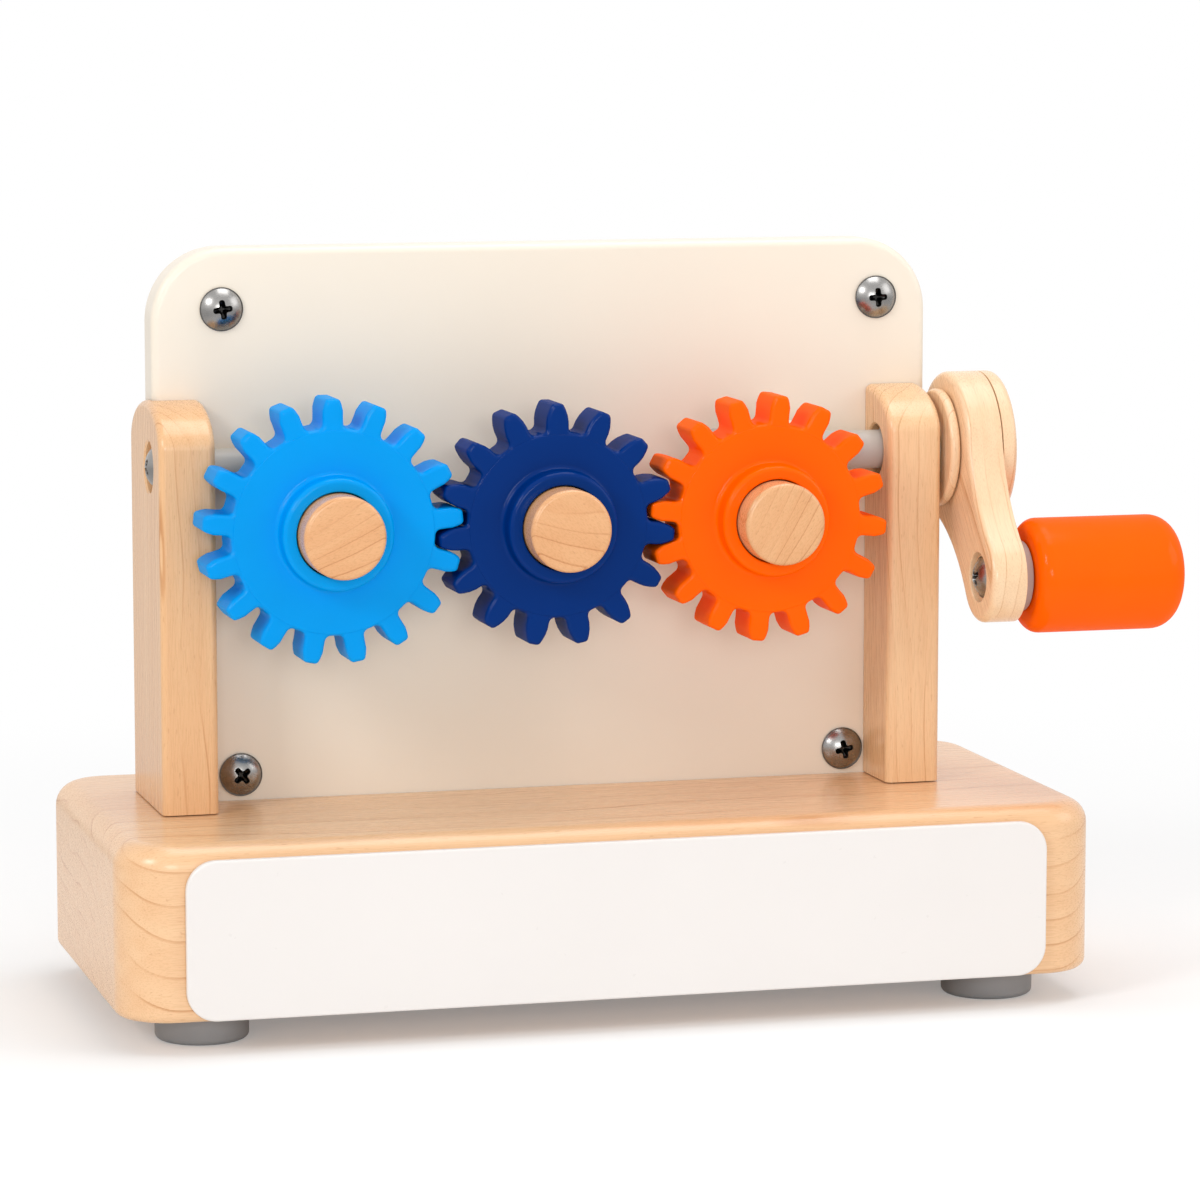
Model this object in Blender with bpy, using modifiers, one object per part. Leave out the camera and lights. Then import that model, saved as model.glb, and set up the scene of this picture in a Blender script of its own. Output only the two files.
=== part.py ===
"""Wooden mechanical transmission model: a hand crank turns a worm that drives three meshed gears.

Run with: blender --background --python part.py
Metres, +Z up, the crank towards +X and the front towards -Y.
The origin is on the floor, under the middle of the whole model's box.
"""
import math

import bmesh
import bpy
from mathutils import Vector

MM = 0.001

# Air left between two pieces that touch
GAP = 0.3 * MM

# Base block on its feet; lengths in X are measured from the middle of the base
BASE_WIDTH = 250.0 * MM
BASE_DEPTH = 113.6 * MM
BASE_HEIGHT = 43.4 * MM
BASE_CORNER = 14.0 * MM
BASE_TOP_EDGE = 6.0 * MM
BASE_BOTTOM_EDGE = 2.5 * MM
FOOT_RADIUS = 11.6 * MM
FOOT_HEIGHT = 7.6 * MM
FOOT_EDGE = 1.2 * MM
FOOT_INSET_X = 23.0 * MM
FOOT_INSET_Y = 21.3 * MM
FOOT_RECESS_DEPTH = 4.4 * MM

# Bare plate on the front of the base
PLATE_WIDTH = 219.4 * MM
PLATE_HEIGHT = 39.4 * MM
PLATE_DROP = 3.4 * MM
PLATE_CORNER = 7.5 * MM
PLATE_THICKNESS = 1.6 * MM
PLATE_EDGE = 0.6 * MM

# Two posts; the right one carries the shaft
POST_MIDDLE_X = -5.7 * MM
POST_SPACING = 174.8 * MM
POST_WIDTH = 14.2 * MM
POST_DEPTH = 42.0 * MM
POST_HEIGHT = 101.7 * MM
POST_FRONT_Y = -15.0 * MM
POST_ARCH_RISE = 11.0 * MM
POST_EDGE = 1.8 * MM

# Back panel: its tongue stands in grooves in the posts and the base, its shoulders in the posts' tops
PANEL_MIDDLE_X = -3.7 * MM
PANEL_WIDTH = 203.2 * MM
PANEL_RISE = 139.8 * MM
PANEL_THICKNESS = 12.0 * MM
PANEL_SETBACK = 20.0 * MM
PANEL_CORNER = 18.5 * MM
PANEL_EDGE = 2.0 * MM
TONGUE_DEPTH = 5.0 * MM
SHOULDER_DEPTH = 3.0 * MM

# Panel screws, each measured from the panel's side and from its top or the base
SCREW_TOP_DROP = 15.3 * MM
SCREW_BOTTOM_RISE = 6.6 * MM
SCREW_TOP_LEFT_INSET = 17.6 * MM
SCREW_TOP_RIGHT_INSET = 13.7 * MM
SCREW_BOTTOM_LEFT_INSET = 21.4 * MM
SCREW_BOTTOM_RIGHT_INSET = 22.1 * MM
DOME_RADIUS = 5.5 * MM
DOME_HEIGHT = 2.7 * MM
DOME_SHANK_RADIUS = 2.0 * MM
DOME_RECESS_ARM = 1.9 * MM
DOME_RECESS_WIDTH = 1.0 * MM
DOME_RECESS_DEPTH = 1.4 * MM
PANEL_SCREW_LENGTH = 19.0 * MM
SCREW_RECESS_MARGIN = 1.0 * MM

# Frame behind the panel: two uprights and the rail that holds the axle pegs
UPRIGHT_WIDTH = 18.0 * MM
UPRIGHT_THICKNESS = 9.7 * MM
UPRIGHT_SHOULDER = 7.0 * MM
UPRIGHT_TOP_DROP = 10.0 * MM
RAIL_HEIGHT = 26.0 * MM

# Hidden wood screws that hold feet, posts, uprights and pegs
PAN_RADIUS = 4.1 * MM
PAN_TAPER = 0.8 * MM
PAN_HEIGHT = 2.4 * MM
PAN_SHANK_RADIUS = 1.6 * MM
FOOT_SCREW_LENGTH = 15.0 * MM
FRAME_SCREW_LENGTH = 38.0 * MM
FRAME_SCREW_SINK = 20.0 * MM
POST_SCREW_FRONT_INSET = 6.5 * MM
POST_SCREW_BACK_INSET = 4.5 * MM
UPRIGHT_SCREW_INSET = 3.8 * MM
AXLE_SCREW_LENGTH = 16.0 * MM
AXLE_WASHER_RADIUS = 7.0 * MM
AXLE_WASHER_THICKNESS = 1.0 * MM

# Spur gears, from left to right; heights and shifts of the teeth are counted in modules.
# The middle gear's teeth are shifted outwards and its neighbours' inwards by the same amount.
GEAR_MODULE = 3.55 * MM
GEAR_PRESSURE_ANGLE = math.radians(14.5)
TOOTH_TOP = 0.9
TOOTH_ROOT = 1.1
TOOTH_SHIFT = 0.15
LEFT_TEETH = 17
MIDDLE_TEETH = 15
RIGHT_TEETH = 16
GEAR_BACKLASH = 0.35 * MM
GEAR_TIP_ROUNDING = 0.7 * MM
GEAR_TIP_SHARE = 0.6
GEAR_ROOT_FILLET = 1.2 * MM
GEAR_THICKNESS = 14.0 * MM
GEAR_EDGE = 0.45 * MM
GEAR_LEFT_X = -67.0 * MM
GEAR_RISE = 71.8 * MM
GEAR_POST_CLEARANCE = 2.5 * MM
COLLAR_RADIUS = 14.0 * MM
COLLAR_HEIGHT = 6.0 * MM
COLLAR_EDGE = 1.2 * MM
HUB_PROUD = 0.5 * MM

# Wooden axle pegs that the gears turn on
PEG_HEAD_RADIUS = 10.3 * MM
PEG_HEAD_LENGTH = 19.5 * MM
PEG_PROUD = 7.5 * MM
PEG_EDGE = 1.0 * MM
PEG_STEM_RADIUS = 5.0 * MM
PEG_TENON_RADIUS = 4.0 * MM
SPACER_RADIUS = 6.5 * MM

# Worm at the shaft's inner end, and the worm wheel behind the right gear
WORM_MODULE = 1.25 * MM
WORM_STARTS = 4
WORM_PRESSURE_ANGLE = math.radians(20.0)
WORM_TOOTH_ROOT = 1.2
WORM_RADIUS = 5.25 * MM
WORM_LENGTH = 15.0 * MM
WORM_BACKLASH = 0.5 * MM
WORM_PANEL_CLEARANCE = 2.0 * MM
WHEEL_TEETH = 14
WHEEL_WIDTH = 7.0 * MM
WHEEL_FILLET = 0.5 * MM
WHEEL_HUB_RADIUS = 6.5 * MM
DRIVE_HEX_RADIUS = 8.0 * MM
DRIVE_HEX_DEPTH = 3.0 * MM

# Shaft, with a bush in the right post and a bracket between worm and post
SHAFT_RADIUS = 5.0 * MM
SHAFT_SQUARE = 7.0 * MM
BUSH_WALL = 0.9 * MM
BUSH_FLANGE = 1.4 * MM
BUSH_FLANGE_THICKNESS = 0.8 * MM
BUSH_SINK = 2.0 * MM
BRACKET_WIDTH = 7.0 * MM
BRACKET_WALL = 2.2 * MM
BRACKET_EDGE = 0.8 * MM
BRACKET_CLEARANCE = 1.7 * MM

# Fixed pin in the left post, with its screw in the post's side
STUB_RADIUS = 4.2 * MM
STUB_LENGTH = 31.0 * MM
STUB_PANEL_CLEARANCE = 0.4 * MM
STUB_SCREW_SINK = 1.8 * MM

# Crank
BOSS_RADIUS = 15.2 * MM
BOSS_THICKNESS = 2.6 * MM
BOSS_EDGE = 1.0 * MM
ARM_THICKNESS = 9.4 * MM
ARM_HUB_RADIUS = 19.6 * MM
ARM_END_RADIUS = 11.6 * MM
ARM_WAIST_RADIUS = 45.0 * MM
ARM_LENGTH = 41.2 * MM
ARM_ANGLE = math.radians(42.0)
ARM_EDGE = 1.6 * MM
ARM_OUTER_EDGE = 0.5 * MM
CAP_THICKNESS = 4.0 * MM
CAP_EDGE = 1.6 * MM
ARM_SCREW_SINK = 2.5 * MM

# Handle
HANDLE_BOLT_RADIUS = 2.5 * MM
HANDLE_HEAD_RADIUS = 5.3 * MM
HANDLE_HEAD_HEIGHT = 2.6 * MM
HANDLE_HEAD_SINK = 1.6 * MM
HANDLE_WASHER_RADIUS = 9.0 * MM
HANDLE_WASHER_THICKNESS = 2.4 * MM
HANDLE_SLEEVE_RADIUS = 4.0 * MM
GRIP_RADIUS = 14.7 * MM
GRIP_LENGTH = 40.4 * MM
GRIP_INNER_EDGE = 3.5 * MM
GRIP_OUTER_EDGE = 6.5 * MM
GRIP_POCKET_RADIUS = 7.6 * MM
GRIP_POCKET_DEPTH = 12.0 * MM
RETAINER_THICKNESS = 1.2 * MM
NUT_RADIUS = 4.6 * MM
NUT_THICKNESS = 4.0 * MM
PLUG_THICKNESS = 3.5 * MM

# Facets round large, medium and small turned pieces, and round an edge
ROUND_STEPS = 24
FINE_STEPS = 20
MEDIUM_STEPS = 16
HEAD_STEPS = 12
SMALL_STEPS = 8
EDGE_STEPS = 2

# Corners closer than this are one corner
SAME_PLACE = 0.001 * MM
SMOOTH_BELOW = math.radians(35.0)

# Heights and depths that follow
BASE_BOTTOM = FOOT_HEIGHT + GAP
BASE_TOP = BASE_BOTTOM + BASE_HEIGHT
POST_BOTTOM = BASE_TOP + GAP
POST_TOP = POST_BOTTOM + POST_HEIGHT
POST_BACK_Y = POST_FRONT_Y + POST_DEPTH
LEFT_POST_INNER = POST_MIDDLE_X - POST_SPACING / 2
RIGHT_POST_INNER = POST_MIDDLE_X + POST_SPACING / 2
LEFT_POST_OUTER = LEFT_POST_INNER - POST_WIDTH
RIGHT_POST_OUTER = RIGHT_POST_INNER + POST_WIDTH
PANEL_FRONT_Y = POST_FRONT_Y + PANEL_SETBACK
PANEL_BACK_Y = PANEL_FRONT_Y + PANEL_THICKNESS
PANEL_TOP = BASE_TOP + PANEL_RISE
PANEL_LEFT = PANEL_MIDDLE_X - PANEL_WIDTH / 2
PANEL_RIGHT = PANEL_MIDDLE_X + PANEL_WIDTH / 2
UPRIGHT_FRONT_Y = PANEL_BACK_Y + GAP
UPRIGHT_BACK_Y = UPRIGHT_FRONT_Y + UPRIGHT_THICKNESS

# Gear train
WHEEL_RADIUS = WORM_MODULE * WHEEL_TEETH / 2
WORM_TIP_RADIUS = WORM_RADIUS + TOOTH_TOP * WORM_MODULE
WORM_ROOT_RADIUS = WORM_RADIUS - WORM_TOOTH_ROOT * WORM_MODULE
WORM_LEAD = math.pi * WORM_MODULE * WORM_STARTS
GEAR_Z = BASE_TOP + GEAR_RISE
SHAFT_Z = GEAR_Z + WHEEL_RADIUS + WORM_RADIUS
SHAFT_Y = PANEL_FRONT_Y - WORM_PANEL_CLEARANCE - WORM_TIP_RADIUS
GEAR_BACK_Y = POST_FRONT_Y - GEAR_POST_CLEARANCE
GEAR_FRONT_Y = GEAR_BACK_Y - GEAR_THICKNESS
HUB_BACK_Y = GEAR_BACK_Y + HUB_PROUD
COLLAR_FRONT_Y = GEAR_FRONT_Y - COLLAR_HEIGHT
PEG_FRONT_Y = COLLAR_FRONT_Y - PEG_PROUD
PEG_SHOULDER_Y = PEG_FRONT_Y + PEG_HEAD_LENGTH
WHEEL_FRONT_Y = SHAFT_Y - WHEEL_WIDTH / 2
WHEEL_BACK_Y = SHAFT_Y + WHEEL_WIDTH / 2
STUB_Y = PANEL_FRONT_Y - STUB_PANEL_CLEARANCE - STUB_RADIUS
PILOT_RADIUS = PAN_SHANK_RADIUS + GAP
PILOT_DEPTH = FOOT_SCREW_LENGTH + GAP

# Crank, from the post outwards
BUSH_FLANGE_X = RIGHT_POST_OUTER + GAP
BOSS_X = BUSH_FLANGE_X + BUSH_FLANGE_THICKNESS + GAP
ARM_X = BOSS_X + BOSS_THICKNESS + GAP
ARM_OUTER_X = ARM_X + ARM_THICKNESS
CAP_X = ARM_OUTER_X + GAP
GRIP_X = CAP_X + HANDLE_WASHER_THICKNESS + GAP
GRIP_END_X = GRIP_X + GRIP_LENGTH
HANDLE_Y = SHAFT_Y - ARM_LENGTH * math.sin(ARM_ANGLE)
HANDLE_Z = SHAFT_Z - ARM_LENGTH * math.cos(ARM_ANGLE)

# The model's origin, seen from the middle of the base
ORIGIN_X = (GRIP_END_X - BASE_WIDTH / 2) / 2
ORIGIN_Y = -(GAP + PLATE_THICKNESS) / 2

# Turns local Z to the front, and local Z to the right
FACE_FRONT = (math.radians(90.0), 0.0, 0.0)
FACE_RIGHT = (0.0, math.radians(90.0), 0.0)
FACE_LEFT = (0.0, math.radians(-90.0), 0.0)
FACE_BACK = (math.radians(-90.0), 0.0, 0.0)
FACE_UP = (0.0, 0.0, 0.0)
FACE_DOWN = (math.radians(180.0), 0.0, 0.0)

# An outline in Y and Z, with its thickness along X
SIDE_OUTLINE = (math.radians(90.0), 0.0, math.radians(90.0))


def clear_scene():
    for old in list(bpy.data.objects):
        bpy.data.objects.remove(old)


def new_collection(name):
    group = bpy.data.collections.new(name)
    bpy.context.scene.collection.children.link(group)
    return group


def new_empty(name, group, location, parent=None):
    empty = bpy.data.objects.new(name, None)
    group.objects.link(empty)
    empty.location = location
    empty.parent = parent
    return empty


def new_material(name, colour, roughness, metallic=0.0):
    finish = bpy.data.materials.new(name)
    finish.use_nodes = True
    shader = finish.node_tree.nodes["Principled BSDF"]
    shader.inputs["Base Color"].default_value = (*colour, 1.0)
    shader.inputs["Roughness"].default_value = roughness
    shader.inputs["Metallic"].default_value = metallic
    finish.diffuse_color = (*colour, 1.0)
    return finish


def new_object(name, mesh, finish, location, rotation, parent):
    """A sub-part in the model's collection."""
    piece = bpy.data.objects.new(name, mesh)
    parts.objects.link(piece)
    piece.location = location
    piece.rotation_euler = rotation
    piece.parent = parent
    mesh.materials.clear()
    mesh.materials.append(finish)
    mesh.shade_smooth()
    mesh.set_sharp_from_angle(angle=SMOOTH_BELOW)
    return piece


def new_cutter(name, mesh, location, rotation, parent):
    """A shape that cuts or joins another, and is left out of the model itself."""
    tool = bpy.data.objects.new(name, mesh)
    cutters.objects.link(tool)
    tool.location = location
    tool.rotation_euler = rotation
    tool.parent = parent
    tool.hide_render = True
    tool.display_type = "WIRE"
    return tool


def combine(piece, tool, operation):
    step = piece.modifiers.new(tool.name, "BOOLEAN")
    step.operation = operation
    step.solver = "EXACT"
    step.object = tool


def evaluated_mesh(guide):
    """The mesh that a guide object shows, once its modifiers have run."""
    bpy.context.scene.collection.objects.link(guide)
    graph = bpy.context.evaluated_depsgraph_get()
    mesh = bpy.data.meshes.new_from_object(guide.evaluated_get(graph))
    bpy.data.objects.remove(guide)
    return mesh


def plate_mesh(name, loops, thickness, middle=0.0):
    """A flat plate from closed outlines; the loops after the first are its holes."""
    curve = bpy.data.curves.new(name, "CURVE")
    curve.dimensions = "2D"
    curve.fill_mode = "BOTH"
    curve.extrude = thickness / 2
    for loop in loops:
        spline = curve.splines.new("POLY")
        spline.points.add(len(loop) - 1)
        for point, (x, y) in zip(spline.points, loop):
            point.co = (x, y, 0.0, 1.0)
        spline.use_cyclic_u = True
    mesh = evaluated_mesh(bpy.data.objects.new(name, curve))
    shape = bmesh.new()
    shape.from_mesh(mesh)
    bmesh.ops.remove_doubles(shape, verts=shape.verts, dist=SAME_PLACE)
    bmesh.ops.dissolve_limit(shape, angle_limit=0.005, verts=shape.verts, edges=shape.edges)
    bmesh.ops.recalc_face_normals(shape, faces=shape.faces)
    bmesh.ops.translate(shape, vec=(0.0, 0.0, middle), verts=shape.verts)
    shape.to_mesh(mesh)
    shape.free()
    return mesh


def turned_mesh(name, profile, steps, ring=False):
    """A profile of (radius, height) points, top to bottom, turned about Z."""
    count = len(profile)
    edges = [(i, (i + 1) % count) for i in range(count if ring else count - 1)]
    outline = bpy.data.meshes.new(name)
    outline.from_pydata([(radius, 0.0, height) for radius, height in profile], edges, [])
    guide = bpy.data.objects.new(name, outline)
    turn = guide.modifiers.new("Turn", "SCREW")
    turn.steps = steps
    turn.render_steps = steps
    turn.use_merge_vertices = True
    turn.merge_threshold = 10 * SAME_PLACE
    return evaluated_mesh(guide)


def twisted_mesh(name, outline, length, twist, bands):
    """An outline carried along Z and turned as it goes, closed at both ends."""
    shape = bmesh.new()
    start = -twist / 2
    ring = []
    for x, y in outline:
        turned_x = x * math.cos(start) - y * math.sin(start)
        turned_y = x * math.sin(start) + y * math.cos(start)
        ring.append(shape.verts.new((turned_x, turned_y, -length / 2)))
    edges = [shape.edges.new((ring[i - 1], ring[i])) for i in range(len(ring))]
    bmesh.ops.spin(
        shape, geom=ring + edges, cent=(0.0, 0.0, 0.0), axis=(0.0, 0.0, 1.0),
        dvec=(0.0, 0.0, length / bands), angle=twist, steps=bands)
    open_edges = [edge for edge in shape.edges if edge.is_boundary]
    bmesh.ops.holes_fill(shape, edges=open_edges, sides=0)
    bmesh.ops.recalc_face_normals(shape, faces=shape.faces)
    mesh = bpy.data.meshes.new(name)
    shape.to_mesh(mesh)
    shape.free()
    return mesh


def round_edges(mesh, radius, chosen, steps=EDGE_STEPS):
    """Rounds the edges for which chosen(first corner, second corner) is true."""
    shape = bmesh.new()
    shape.from_mesh(mesh)
    edges = [edge for edge in shape.edges if chosen(edge.verts[0].co, edge.verts[1].co)]
    bmesh.ops.bevel(
        shape, geom=edges, offset=radius, offset_type="OFFSET", segments=steps,
        profile=0.5, affect="EDGES", clamp_overlap=True)
    bmesh.ops.remove_doubles(shape, verts=shape.verts, dist=SAME_PLACE)
    shape.to_mesh(mesh)
    shape.free()


def on_height(first, second, height):
    return abs(first.z - height) < SAME_PLACE and abs(second.z - height) < SAME_PLACE


def box_mesh(name, size):
    shape = bmesh.new()
    bmesh.ops.create_cube(shape, size=1.0)
    bmesh.ops.scale(shape, vec=size, verts=shape.verts)
    mesh = bpy.data.meshes.new(name)
    shape.to_mesh(mesh)
    shape.free()
    return mesh


def arc(centre_x, centre_y, radius, start, end, steps):
    """Points on an arc, both ends among them; angles in degrees."""
    points = []
    for i in range(steps + 1):
        angle = math.radians(start + (end - start) * i / steps)
        points.append((centre_x + radius * math.cos(angle), centre_y + radius * math.sin(angle)))
    return points


def circle(centre_x, centre_y, radius, steps):
    return arc(centre_x, centre_y, radius, 0.0, 360.0, steps)[:-1]


def rounded_rectangle(left, right, bottom, top, radius, steps):
    points = arc(right - radius, top - radius, radius, 0.0, 90.0, steps)
    points += arc(left + radius, top - radius, radius, 90.0, 180.0, steps)
    points += arc(left + radius, bottom + radius, radius, 180.0, 270.0, steps)
    points += arc(right - radius, bottom + radius, radius, 270.0, 360.0, steps)
    return points


def drill(piece, radius, start, end, steps=SMALL_STEPS):
    """A round hole through piece between two points of the design."""
    start = Vector(start)
    run = Vector(end) - start
    shape = bmesh.new()
    bmesh.ops.create_cone(
        shape, cap_ends=True, segments=steps, radius1=radius, radius2=radius, depth=run.length)
    mesh = bpy.data.meshes.new("drill")
    shape.to_mesh(mesh)
    shape.free()
    rotation = run.to_track_quat("Z", "Y").to_euler()
    tool = new_cutter(piece.name + "_drill", mesh, start + run / 2, rotation, model)
    combine(piece, tool, "DIFFERENCE")


def mill(piece, low, high):
    """A square-edged groove or notch in piece, between two corners of the design."""
    low = Vector(low)
    high = Vector(high)
    mesh = box_mesh("mill", high - low)
    tool = new_cutter(piece.name + "_mill", mesh, (low + high) / 2, FACE_UP, model)
    combine(piece, tool, "DIFFERENCE")


def ring_profile(outer, inner, top, bottom, edge=0.0):
    """A washer or sleeve; edge breaks its outer corners."""
    if edge == 0.0:
        return [(outer, top), (outer, bottom), (inner, bottom), (inner, top)]
    return [
        (outer - edge, top), (outer, top - edge), (outer, bottom + edge),
        (outer - edge, bottom), (inner, bottom), (inner, top)]


def rounded_profile(radius, edge, height, steps):
    """The rim of a turned piece, from its flat top round to its side."""
    return [(x, z) for z, x in arc(height - edge, radius - edge, edge, 0.0, 90.0, steps)]


def dome_screw(name, radius, height, shank_radius, length, location, rotation, parent=None):
    """A domed head above local Z = 0 with a cross recess, and a shank below it."""
    ball = (radius ** 2 + height ** 2) / (2 * height)
    spread = math.degrees(math.asin(radius / ball))
    head = [(x, z) for z, x in arc(height - ball, 0.0, ball, 0.0, spread, 3)]
    profile = [(0.0, height)] + head[1:-1] + [(radius, 0.0)]
    profile += [(shank_radius, 0.0), (shank_radius, -length + shank_radius), (0.0, -length)]
    mesh = turned_mesh(name, profile, HEAD_STEPS)
    screw = new_object(name, mesh, steel, location, rotation, parent or model)
    for turn in (0.0, 90.0):
        size = (2 * DOME_RECESS_ARM, DOME_RECESS_WIDTH, 2 * DOME_RECESS_DEPTH)
        tool = new_cutter(name + "_recess", box_mesh("recess", size), (0.0, 0.0, height), FACE_UP, screw)
        tool.rotation_euler = (0.0, 0.0, math.radians(turn))
        combine(screw, tool, "DIFFERENCE")
    return screw


def pan_screw(name, length, location, rotation, parent=None):
    """A flat-topped head above local Z = 0 and a pointed shank below it."""
    profile = [
        (0.0, PAN_HEIGHT), (PAN_RADIUS - PAN_TAPER, PAN_HEIGHT), (PAN_RADIUS, 0.0), (PAN_SHANK_RADIUS, 0.0),
        (PAN_SHANK_RADIUS, -length + 2 * PAN_SHANK_RADIUS), (0.0, -length)]
    mesh = turned_mesh(name, profile, SMALL_STEPS)
    return new_object(name, mesh, steel, location, rotation, parent or model)


def involute(angle):
    return math.tan(angle) - angle


def gear_outline(
        teeth, module, pressure_angle, shift, root, backlash, tip_rounding, root_fillet, phase):
    """Involute teeth; phase is the angle in degrees of one tooth, from +X towards +Y."""
    pitch_radius = module * teeth / 2
    base_radius = pitch_radius * math.cos(pressure_angle)
    tip_radius = pitch_radius + module * (shift + TOOTH_TOP)
    root_radius = pitch_radius + module * (shift - root)

    def half_angle(radius):
        lean = math.acos(min(1.0, base_radius / radius))
        width = (math.pi / 2 + 2 * shift * math.tan(pressure_angle)) / teeth
        play = backlash / 4 / pitch_radius
        return width - play + involute(pressure_angle) - involute(lean)

    foot_radius = root_radius + root_fillet
    shoulder_radius = tip_radius - tip_rounding
    flank = [
        (root_radius, half_angle(foot_radius) + root_fillet / root_radius),
        (foot_radius, half_angle(foot_radius)),
        (shoulder_radius, half_angle(shoulder_radius))]
    if tip_rounding > 0.0:
        flat = half_angle(tip_radius) - GEAR_TIP_SHARE * tip_rounding / tip_radius
        flank.append((tip_radius, flat))
    points = []
    for tooth in range(teeth):
        middle = math.radians(phase + 360.0 * tooth / teeth)
        for radius, spread in flank:
            points.append((radius * math.cos(middle - spread), radius * math.sin(middle - spread)))
        for radius, spread in reversed(flank):
            points.append((radius * math.cos(middle + spread), radius * math.sin(middle + spread)))
    return points


def worm_outline():
    """The section across the worm: one lobe for each start, none of them straight down."""
    half_width = math.pi * WORM_MODULE / 4 - WORM_BACKLASH / 4
    per_length = 2 * math.pi / WORM_LEAD
    flank = []
    for radius in (WORM_ROOT_RADIUS, WORM_RADIUS, WORM_TIP_RADIUS):
        width = half_width - (radius - WORM_RADIUS) * math.tan(WORM_PRESSURE_ANGLE)
        flank.append((radius, width * per_length))
    points = []
    for start in range(WORM_STARTS):
        middle = 2 * math.pi * (start + 0.5) / WORM_STARTS
        for radius, spread in flank:
            points.append((radius * math.cos(middle - spread), radius * math.sin(middle - spread)))
        for radius, spread in reversed(flank):
            points.append((radius * math.cos(middle + spread), radius * math.sin(middle + spread)))
    return points


def make_base():
    mesh = box_mesh("base_block", (BASE_WIDTH, BASE_DEPTH, BASE_HEIGHT))
    top = BASE_HEIGHT / 2
    round_edges(mesh, BASE_CORNER, lambda a, b: abs(a.z - b.z) > top, steps=6)
    round_edges(mesh, BASE_TOP_EDGE, lambda a, b: on_height(a, b, top), steps=EDGE_STEPS + 1)
    round_edges(mesh, BASE_BOTTOM_EDGE, lambda a, b: on_height(a, b, -top))
    middle = (0.0, 0.0, BASE_BOTTOM + BASE_HEIGHT / 2)
    base = new_object("base_block", mesh, maple, middle, FACE_UP, model)
    groove_low = (
        LEFT_POST_INNER - TONGUE_DEPTH - GAP, PANEL_FRONT_Y - GAP, BASE_TOP - TONGUE_DEPTH - GAP)
    groove_high = (
        RIGHT_POST_INNER + TONGUE_DEPTH + GAP, PANEL_BACK_Y + GAP, BASE_TOP + TONGUE_DEPTH)
    mill(base, groove_low, groove_high)
    for x, y in foot_places():
        drill(
            base, PILOT_RADIUS, (x, y, BASE_BOTTOM - TONGUE_DEPTH),
            (x, y, BASE_BOTTOM + FOOT_SCREW_LENGTH))
    for x, y in frame_screw_places():
        sink = BASE_BOTTOM + FRAME_SCREW_SINK
        drill(base, PAN_RADIUS + 2 * GAP, (x, y, BASE_BOTTOM - TONGUE_DEPTH), (x, y, sink))
        drill(base, PILOT_RADIUS, (x, y, sink - TONGUE_DEPTH), (x, y, BASE_TOP + TONGUE_DEPTH))


def foot_places():
    x = BASE_WIDTH / 2 - FOOT_INSET_X
    y = BASE_DEPTH / 2 - FOOT_INSET_Y
    return [(-x, -y), (x, -y), (x, y), (-x, y)]


def frame_screw_places():
    """Screws that come up through the base: two in each post, one in each upright."""
    places = []
    for inner, outer in ((LEFT_POST_INNER, LEFT_POST_OUTER), (RIGHT_POST_INNER, RIGHT_POST_OUTER)):
        for y in (POST_FRONT_Y + POST_SCREW_FRONT_INSET, POST_BACK_Y - POST_SCREW_BACK_INSET):
            places.append(((inner + outer) / 2, y))
    for edge, side in ((LEFT_POST_INNER, 1), (RIGHT_POST_INNER, -1)):
        x = edge + side * (GAP + UPRIGHT_WIDTH - UPRIGHT_SCREW_INSET)
        places.append((x, (UPRIGHT_FRONT_Y + UPRIGHT_BACK_Y) / 2))
    return places


def make_plate():
    bottom = BASE_TOP - PLATE_DROP - PLATE_HEIGHT
    loop = rounded_rectangle(
        -PLATE_WIDTH / 2, PLATE_WIDTH / 2, bottom, bottom + PLATE_HEIGHT, PLATE_CORNER, 5)
    mesh = plate_mesh("front_plate", [loop], PLATE_THICKNESS)
    round_edges(mesh, PLATE_EDGE, lambda a, b: on_height(a, b, PLATE_THICKNESS / 2))
    y = -BASE_DEPTH / 2 - GAP - PLATE_THICKNESS / 2
    new_object("front_plate", mesh, plate_white, (0.0, y, 0.0), FACE_FRONT, model)


def make_feet():
    recess = PAN_RADIUS + 2 * GAP
    recess_top = FOOT_RECESS_DEPTH
    profile = [
        (FOOT_RADIUS, FOOT_HEIGHT), (FOOT_RADIUS, FOOT_EDGE), (FOOT_RADIUS - FOOT_EDGE, 0.0),
        (recess, 0.0), (recess, recess_top), (PILOT_RADIUS, recess_top), (PILOT_RADIUS, FOOT_HEIGHT)]
    names = ("front_left", "front_right", "back_right", "back_left")
    for name, (x, y) in zip(names, foot_places()):
        mesh = turned_mesh("foot_" + name, profile, MEDIUM_STEPS, ring=True)
        new_object("foot_" + name, mesh, rubber, (x, y, 0.0), FACE_UP, model)
        pan_screw(
            "foot_screw_" + name, FOOT_SCREW_LENGTH, (x, y, recess_top - GAP), FACE_DOWN)


def post_outline():
    """The post seen from the side: upright edges under half an ellipse."""
    middle = (POST_FRONT_Y + POST_BACK_Y) / 2
    spring = POST_TOP - POST_ARCH_RISE
    points = [(POST_FRONT_Y, POST_BOTTOM), (POST_BACK_Y, POST_BOTTOM)]
    arch_steps = 12
    for i in range(arch_steps + 1):
        angle = math.pi * i / arch_steps
        points.append((
            middle + POST_DEPTH / 2 * math.cos(angle),
            spring + POST_ARCH_RISE * math.sin(angle)))
    return points


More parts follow.
